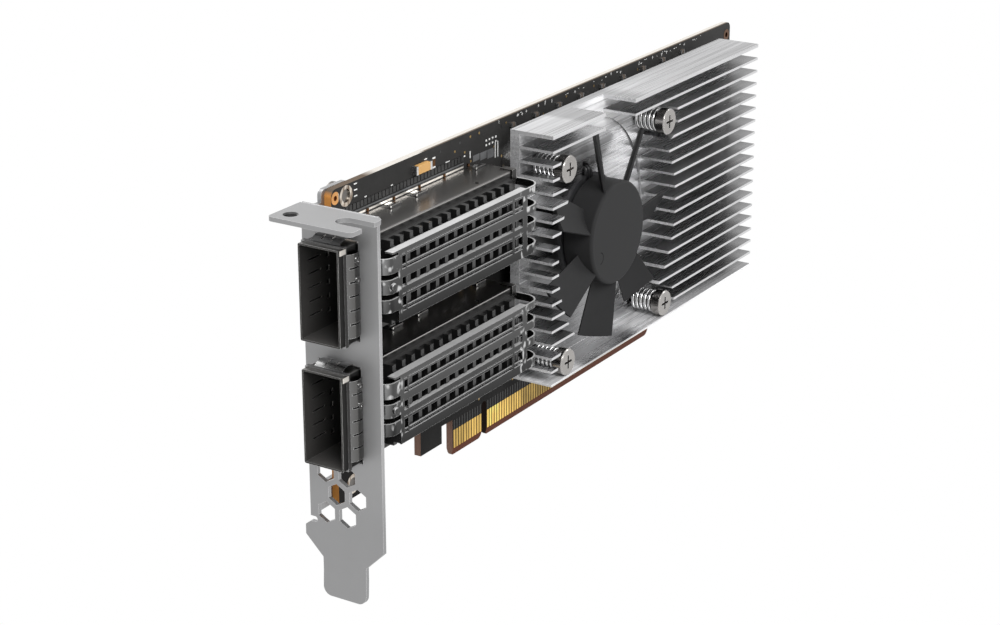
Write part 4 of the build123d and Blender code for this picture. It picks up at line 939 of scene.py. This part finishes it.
def new_tree(name, inputs):
    """An empty Geometry Nodes tree with named inputs."""
    tree = bpy.data.node_groups.new(name, "GeometryNodeTree")
    tree.interface.new_socket("Geometry", in_out="INPUT", socket_type="NodeSocketGeometry")
    for label, kind in inputs:
        tree.interface.new_socket(label, in_out="INPUT", socket_type=kind)
    tree.interface.new_socket("Geometry", in_out="OUTPUT", socket_type="NodeSocketGeometry")
    return tree, tree.nodes.new("NodeGroupInput"), tree.nodes.new("NodeGroupOutput")


def feed(tree, inside, node, labels):
    """Links a tree's named inputs to the inputs of a node, given by their own labels."""
    for label, source in labels.items():
        tree.links.new(inside.outputs[source], node.inputs[label])


def finish_tree(tree, inside, outside, points, mesh, scale=None, rotation=(0, 0, 0)):
    """Puts a mesh on the points, makes the instances real and gives them the material."""
    spread = tree.nodes.new("GeometryNodeInstanceOnPoints")
    spread.inputs["Rotation"].default_value = rotation
    tree.links.new(points, spread.inputs["Points"])
    tree.links.new(mesh, spread.inputs["Instance"])
    if scale:
        tree.links.new(scale, spread.inputs["Scale"])
    real = tree.nodes.new("GeometryNodeRealizeInstances")
    paint = tree.nodes.new("GeometryNodeSetMaterial")
    tree.links.new(spread.outputs["Instances"], real.inputs["Geometry"])
    tree.links.new(real.outputs["Geometry"], paint.inputs["Geometry"])
    tree.links.new(inside.outputs["Material"], paint.inputs["Material"])
    tree.links.new(paint.outputs["Geometry"], outside.inputs["Geometry"])


def blocks_tree():
    """A block on every point, each stretched a little at random."""
    tree, inside, outside = new_tree("blocks_on_points", [
        ("Size", "NodeSocketVector"), ("Smallest", "NodeSocketVector"), ("Largest", "NodeSocketVector"),
        ("Seed", "NodeSocketInt"), ("Material", "NodeSocketMaterial"),
    ])
    block = tree.nodes.new("GeometryNodeMeshCube")
    feed(tree, inside, block, {"Size": "Size"})
    stretch = tree.nodes.new("FunctionNodeRandomValue")
    stretch.data_type = "FLOAT_VECTOR"
    feed(tree, inside, stretch, {"Min": "Smallest", "Max": "Largest", "Seed": "Seed"})
    finish_tree(tree, inside, outside, inside.outputs["Geometry"], block.outputs["Mesh"],
                scale=stretch.outputs["Value"])
    return tree


def row_tree():
    """Blocks in a straight row."""
    tree, inside, outside = new_tree("row_of_blocks", [
        ("Count", "NodeSocketInt"), ("Start", "NodeSocketVector"), ("Pitch", "NodeSocketVector"),
        ("Size", "NodeSocketVector"), ("Material", "NodeSocketMaterial"),
    ])
    line = tree.nodes.new("GeometryNodeMeshLine")
    line.mode = "OFFSET"
    feed(tree, inside, line, {"Count": "Count", "Start Location": "Start", "Offset": "Pitch"})
    block = tree.nodes.new("GeometryNodeMeshCube")
    feed(tree, inside, block, {"Size": "Size"})
    finish_tree(tree, inside, outside, line.outputs["Mesh"], block.outputs["Mesh"])
    return tree


def rings_tree():
    """A flat ring on every point, facing along Y."""
    tree, inside, outside = new_tree("rings_on_points", [
        ("Radius", "NodeSocketFloat"), ("Thickness", "NodeSocketFloat"), ("Material", "NodeSocketMaterial"),
    ])
    ring = tree.nodes.new("GeometryNodeMeshCylinder")
    ring.inputs["Vertices"].default_value = VIA_SIDES
    feed(tree, inside, ring, {"Radius": "Radius", "Depth": "Thickness"})
    finish_tree(tree, inside, outside, inside.outputs["Geometry"], ring.outputs["Mesh"],
                rotation=(math.radians(90), 0, 0))
    return tree


def grown(name, points, tree, values):
    """Runs a tree on some points and keeps the result as a plain piece of the card."""
    mesh = bpy.data.meshes.new(name + "_points")
    mesh.from_pydata([tuple(point) for point in points] or [(0, 0, 0)], [], [])
    piece = bpy.data.objects.new(name, mesh)
    bpy.context.scene.collection.objects.link(piece)
    modifier = piece.modifiers.new("Grow", "NODES")
    modifier.node_group = tree
    for item in tree.interface.items_tree:
        if item.in_out == "INPUT" and item.name in values:
            modifier[item.identifier] = values[item.name]
    graph = bpy.context.evaluated_depsgraph_get()
    result = bpy.data.meshes.new_from_object(piece.evaluated_get(graph))
    piece.modifiers.clear()
    piece.data = result
    result.name = name
    if not result.polygons:
        raise RuntimeError(name + " came out empty")
    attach(piece, "card")


def shared_tree(name, maker):
    """A tree that is made once and used by several operators."""
    return bpy.data.node_groups.get(name) or maker()


def finish(name):
    """A finish that the first operator has made."""
    material = bpy.data.materials.get(name)
    if material is None:
        raise RuntimeError("run the finishes first: no material " + name)
    return material


def stretched_blocks(name, points, size, smallest, largest, seed, slot):
    """A block on every point, stretched at random between two scales."""
    grown(name, points, shared_tree("blocks_on_points", blocks_tree), {
        "Size": size, "Smallest": smallest, "Largest": largest, "Seed": seed, "Material": finish(slot),
    })


def equal_blocks(name, points, size, slot):
    """The same block on every point."""
    stretched_blocks(name, points, size, (1.0, 1.0, 1.0), (1.0, 1.0, 1.0), 0, slot)


def block_row(name, count, start, pitch, size, slot):
    """Equal blocks in a row along X."""
    grown(name, [], shared_tree("row_of_blocks", row_tree), {
        "Count": count, "Start": start, "Pitch": (pitch, 0, 0), "Size": size, "Material": finish(slot),
    })


def millimetres(*lengths):
    """Lengths in millimetres as metres."""
    return tuple(length * MM for length in lengths)


def scattered(chance, span, y):
    """A random point at one depth within an X and Z span given in millimetres."""
    x0, x1, z0, z1 = span
    return (chance.uniform(x0, x1) * MM, y, chance.uniform(z0, z1) * MM)


# Operators

class CARD_OT_finishes(bpy.types.Operator):
    """Gives every part of the card its finish"""
    bl_idname = "card.finishes"
    bl_label = "Finishes"

    def execute(self, context):
        made = make_finishes(context.scene.card_finish)
        for node, part in frame["nodes"].items():
            part.data.materials.clear()
            part.data.materials.append(made[slot_of(node)])
        return {"FINISHED"}


class CARD_OT_solder(bpy.types.Operator):
    """Adds the soldered ends of the small parts on both faces"""
    bl_idname = "card.solder"
    bl_label = "Soldered ends"

    def execute(self, context):
        for node, along, inset in SOLDERED:
            boxes = solid_boxes(node)
            size = boxes[0][1] - boxes[0][0]
            across = 2 - along
            block = [0.0, size.y + SOLDER_OVERHANG, 0.0]
            block[along] = 2 * inset * MM
            block[across] = size[across] + 2 * SOLDER_OVERHANG
            reach = inset * MM - SOLDER_OVERHANG
            points = []
            for low, high in boxes:
                for side in (low[along] + reach, high[along] - reach):
                    spot = (low + high) / 2
                    spot[along] = side
                    points.append(spot)
            equal_blocks(node + "_ends", points, block, "solder")
        return {"FINISHED"}


class CARD_OT_board_marks(bpy.types.Operator):
    """Adds printed ticks, vias and tiny resistors to the board, with no lettering"""
    bl_idname = "card.board_marks"
    bl_label = "Board marks"

    def execute(self, context):
        settings = context.scene.card_trim
        chance = random.Random(settings.seed)
        thick = settings.mark_thickness
        front = FACE_Y - thick / 2
        back = BACK_Y + thick / 2
        points = [scattered(chance, chance.choice(FRONT_SPANS), front) for _ in range(FRONT_MARKS)]
        stretched_blocks("front_print_marks", points, (0.5 * MM, thick, 0.10 * MM),
                         (0.4, 1, 0.6), (1.4, 1, 1.4), settings.seed, "mark_white")
        stretched_blocks("front_print_bars", points[:FRONT_BARS], (0.10 * MM, thick, 0.6 * MM),
                         (0.6, 1, 0.5), (1.2, 1, 1.5), settings.seed + 1, "mark_white")
        points = [
            scattered(chance, chance.choice(FRONT_SPANS[1:]), -0.17 * MM) for _ in range(FRONT_RESISTORS)
        ]
        stretched_blocks("front_resistors", points, millimetres(0.9, 0.34, 0.45),
                         (1, 1, 1), (1.1, 1, 1.1), 3, "trace_black")
        index = 0
        for slot, marks in STRIP_MARKS:
            for x, z, width, height in marks:
                equal_blocks("strip_mark_%d" % index, [(x * MM, front, z * MM)],
                             (width * MM, thick, height * MM), slot)
                index += 1
        points = [scattered(chance, BACK_SPAN, back) for _ in range(BACK_MARKS)]
        stretched_blocks("back_print_marks", points, (0.7 * MM, thick, 0.10 * MM),
                         (0.4, 1, 0.6), (2.2, 1, 1.4), settings.seed + 2, "mark_white")
        middle, half = CONTACT_EDGE
        for name, y in (("front_vias", FACE_Y), ("back_vias", BACK_Y)):
            points = [scattered(chance, VIA_SPANS[name], y) for _ in range(settings.via_count)]
            points = [spot for spot in points if spot[2] > VIA_FULL_HEIGHT or abs(spot[0] - middle) < half]
            grown(name, points, shared_tree("rings_on_points", rings_tree), {
                "Radius": settings.via_radius, "Thickness": thick * 2, "Material": finish("via_gold"),
            })
        return {"FINISHED"}


class CARD_OT_contact_traces(bpy.types.Operator):
    """Adds the short traces that leave the edge contacts"""
    bl_idname = "card.contact_traces"
    bl_label = "Contact traces"

    def execute(self, context):
        boxes = [box for box in solid_boxes("gold_contacts") if box[1].y <= 0.01 * MM]
        left = [box for box in boxes if box[0].x < 0]
        right = [box for box in boxes if box[0].x > 0]
        for name, group in (("short_row_traces", left), ("long_row_traces", right)):
            low, high = group[0]
            block_row(name, len(group),
                      ((low.x + high.x) / 2, -TRACE_THICKNESS / 2, high.z + TRACE_LENGTH / 2),
                      context.scene.card_trim.trace_pitch, (TRACE_WIDTH, TRACE_THICKNESS, TRACE_LENGTH),
                      "trace_black")
        return {"FINISHED"}


class CARD_OT_cage_details(bpy.types.Operator):
    """Adds the small teeth, the seam, the latches and the mouth folds of the port cages, with black pieces
    of painted shade and bright pieces of painted highlight
    """
    bl_idname = "card.cage_details"
    bl_label = "Cage details"

    def execute(self, context):
        pitch = context.scene.card_trim.tooth_pitch
        # The teeth are real bumps, made black as painted shade
        block_row("cage_foot_teeth", FOOT_TEETH, (-50.0 * MM, -0.1 * MM, SEAM_Z + 1.8 * MM), pitch,
                  millimetres(0.95, 0.2, 1.2), "tooth_black")
        for name, y, rise, depth, height, slot in SEAM_STRIPS:
            block_row(name, 1, (SEAM_MIDDLE, y * MM, SEAM_Z + rise * MM), pitch,
                      (SEAM_LENGTH, depth * MM, height * MM), slot)
        block_row("cage_seam_pins", SEAM_PINS, (-41.0 * MM, -0.2 * MM, SEAM_Z), PIN_PITCH,
                  millimetres(0.5, 0.3, 0.6), "pin_bronze")
        walls = []
        folds = []
        for low, high in CAGES:
            top = high.z - CORNER_TAB_RISE
            walls += [(top, 1), (low.z, -1)]
            folds.append((low.x + 0.9 * MM, low.y - 0.06 * MM, top - 0.5 * MM))
        for name, (x, y, out), size, slot in LATCH_PARTS:
            points = [
                (latch + x * MM, y * MM, wall + side * out * MM)
                for wall, side in walls for latch in LATCH_PLACES
            ]
            equal_blocks(name, points, millimetres(*size), slot)
        # The mouth folds carry the painted highlight colour
        equal_blocks("cage_mouth_folds", folds, millimetres(1.8, 0.12, 1.0), "seam_bright")
        return {"FINISHED"}


def shown_pale(tree, plain, pale, output):
    """Shows camera, glossy and transmission rays the pale shader, and all others the plain one."""
    light_path = tree.nodes.new("ShaderNodeLightPath")
    seen = light_path.outputs["Is Camera Ray"]
    for ray in ("Is Glossy Ray", "Is Transmission Ray"):
        seen = math_node(tree, "MAXIMUM", seen, light_path.outputs[ray])
    mix = tree.nodes.new("ShaderNodeMixShader")
    for index, socket in enumerate((seen, plain.outputs[0], pale.outputs[0])):
        tree.links.new(socket, mix.inputs[index])
    tree.links.new(mix.outputs[0], output.inputs["Surface"])


def make_floor(scene):
    """A wide pale floor under the card."""
    mesh = bpy.data.meshes.new("floor")
    corners = [(-1, -1), (1, -1), (1, 1), (-1, 1)]
    mesh.from_pydata(
        [(x * FLOOR_REACH, y * FLOOR_REACH, FLOOR_HEIGHT) for x, y in corners], [], [(0, 1, 2, 3)])
    floor = bpy.data.objects.new("floor", mesh)
    scene.collection.objects.link(floor)
    material, tree, shader = new_material("floor_pale", (0.9, 0.9, 0.9), roughness=0.9, specular=0.1)
    pale = tree.nodes.new("ShaderNodeEmission")
    pale.inputs["Color"].default_value = (1, 1, 1, 1)
    shown_pale(tree, shader, pale, tree.nodes["Material Output"])
    floor.data.materials.append(material)
    return floor


def make_world(scene):
    """A white world that lights the card softly."""
    world = bpy.data.worlds.new("pale_studio")
    scene.world = world
    world.use_nodes = True
    tree = world.node_tree
    tree.nodes.clear()
    skies = []
    for strength in (AMBIENT, 1.0):
        sky = tree.nodes.new("ShaderNodeBackground")
        sky.inputs["Color"].default_value = (1, 1, 1, 1)
        sky.inputs["Strength"].default_value = strength
        skies.append(sky)
    shown_pale(tree, skies[0], skies[1], tree.nodes.new("ShaderNodeOutputWorld"))


def make_lamps(scene):
    """Soft square lamps around the card."""
    for name, spot, side, power in LAMPS:
        lamp = bpy.data.lights.new(name, "AREA")
        lamp.size = side
        lamp.energy = power
        holder = bpy.data.objects.new(name, lamp)
        scene.collection.objects.link(holder)
        aim = (Vector(LAMP_AIM) - Vector(spot)).to_track_quat("-Z", "Y").to_matrix().to_4x4()
        holder.matrix_world = Matrix.Translation(spot) @ aim


def make_camera(scene):
    """The photograph's camera, solved from the card's known sizes."""
    camera = bpy.data.cameras.new("photo_camera")
    camera.sensor_width = 36.0
    camera.lens = CAMERA_LENS
    camera.clip_start = 0.01
    holder = bpy.data.objects.new("photo_camera", camera)
    scene.collection.objects.link(holder)
    axes = (Vector(CAMERA_RIGHT), -Vector(CAMERA_DOWN), -Vector(CAMERA_AHEAD))
    holder.matrix_world = Matrix.Translation(CAMERA_PLACE) @ Matrix(axes).transposed().to_4x4()
    scene.camera = holder


class CARD_OT_stage(bpy.types.Operator):
    """Sets up the floor, the soft lights, the pale world and the camera"""
    bl_idname = "card.stage"
    bl_label = "Stage"

    def execute(self, context):
        scene = context.scene
        scene.view_settings.view_transform = "Standard"
        floor = make_floor(scene)
        make_world(scene)
        make_lamps(scene)
        make_camera(scene)
        return {"FINISHED"}


class CARD_PT_panel(bpy.types.Panel):
    """Lists the card's steps"""
    bl_idname = "CARD_PT_panel"
    bl_label = "Network interface card"
    bl_space_type = "VIEW_3D"
    bl_region_type = "UI"
    bl_category = "Card"

    def draw(self, context):
        layout = self.layout
        for settings in (context.scene.card_finish, context.scene.card_trim):
            column = layout.column()
            for label in settings.__annotations__:
                column.prop(settings, label)
        for step in STEPS:
            layout.operator(step.bl_idname)


STEPS = (
    CARD_OT_finishes, CARD_OT_solder, CARD_OT_board_marks, CARD_OT_contact_traces, CARD_OT_cage_details,
    CARD_OT_stage,
)
CLASSES = (CardFinishSettings, CardTrimSettings) + STEPS + (CARD_PT_panel,)


def register():
    """Adds the classes and the scene's settings."""
    for cls in CLASSES:
        bpy.utils.register_class(cls)
    bpy.types.Scene.card_finish = PointerProperty(type=CardFinishSettings)
    bpy.types.Scene.card_trim = PointerProperty(type=CardTrimSettings)


def unregister():
    """Takes them out again."""
    del bpy.types.Scene.card_trim
    del bpy.types.Scene.card_finish
    for cls in reversed(CLASSES):
        bpy.utils.unregister_class(cls)


def main():
    """Registers the classes and runs every step in order."""
    register()
    bpy.ops.card.finishes()
    bpy.ops.card.solder()
    bpy.ops.card.board_marks()
    bpy.ops.card.contact_traces()
    bpy.ops.card.cage_details()
    bpy.ops.card.stage()


if __name__ == "__main__":
    main()
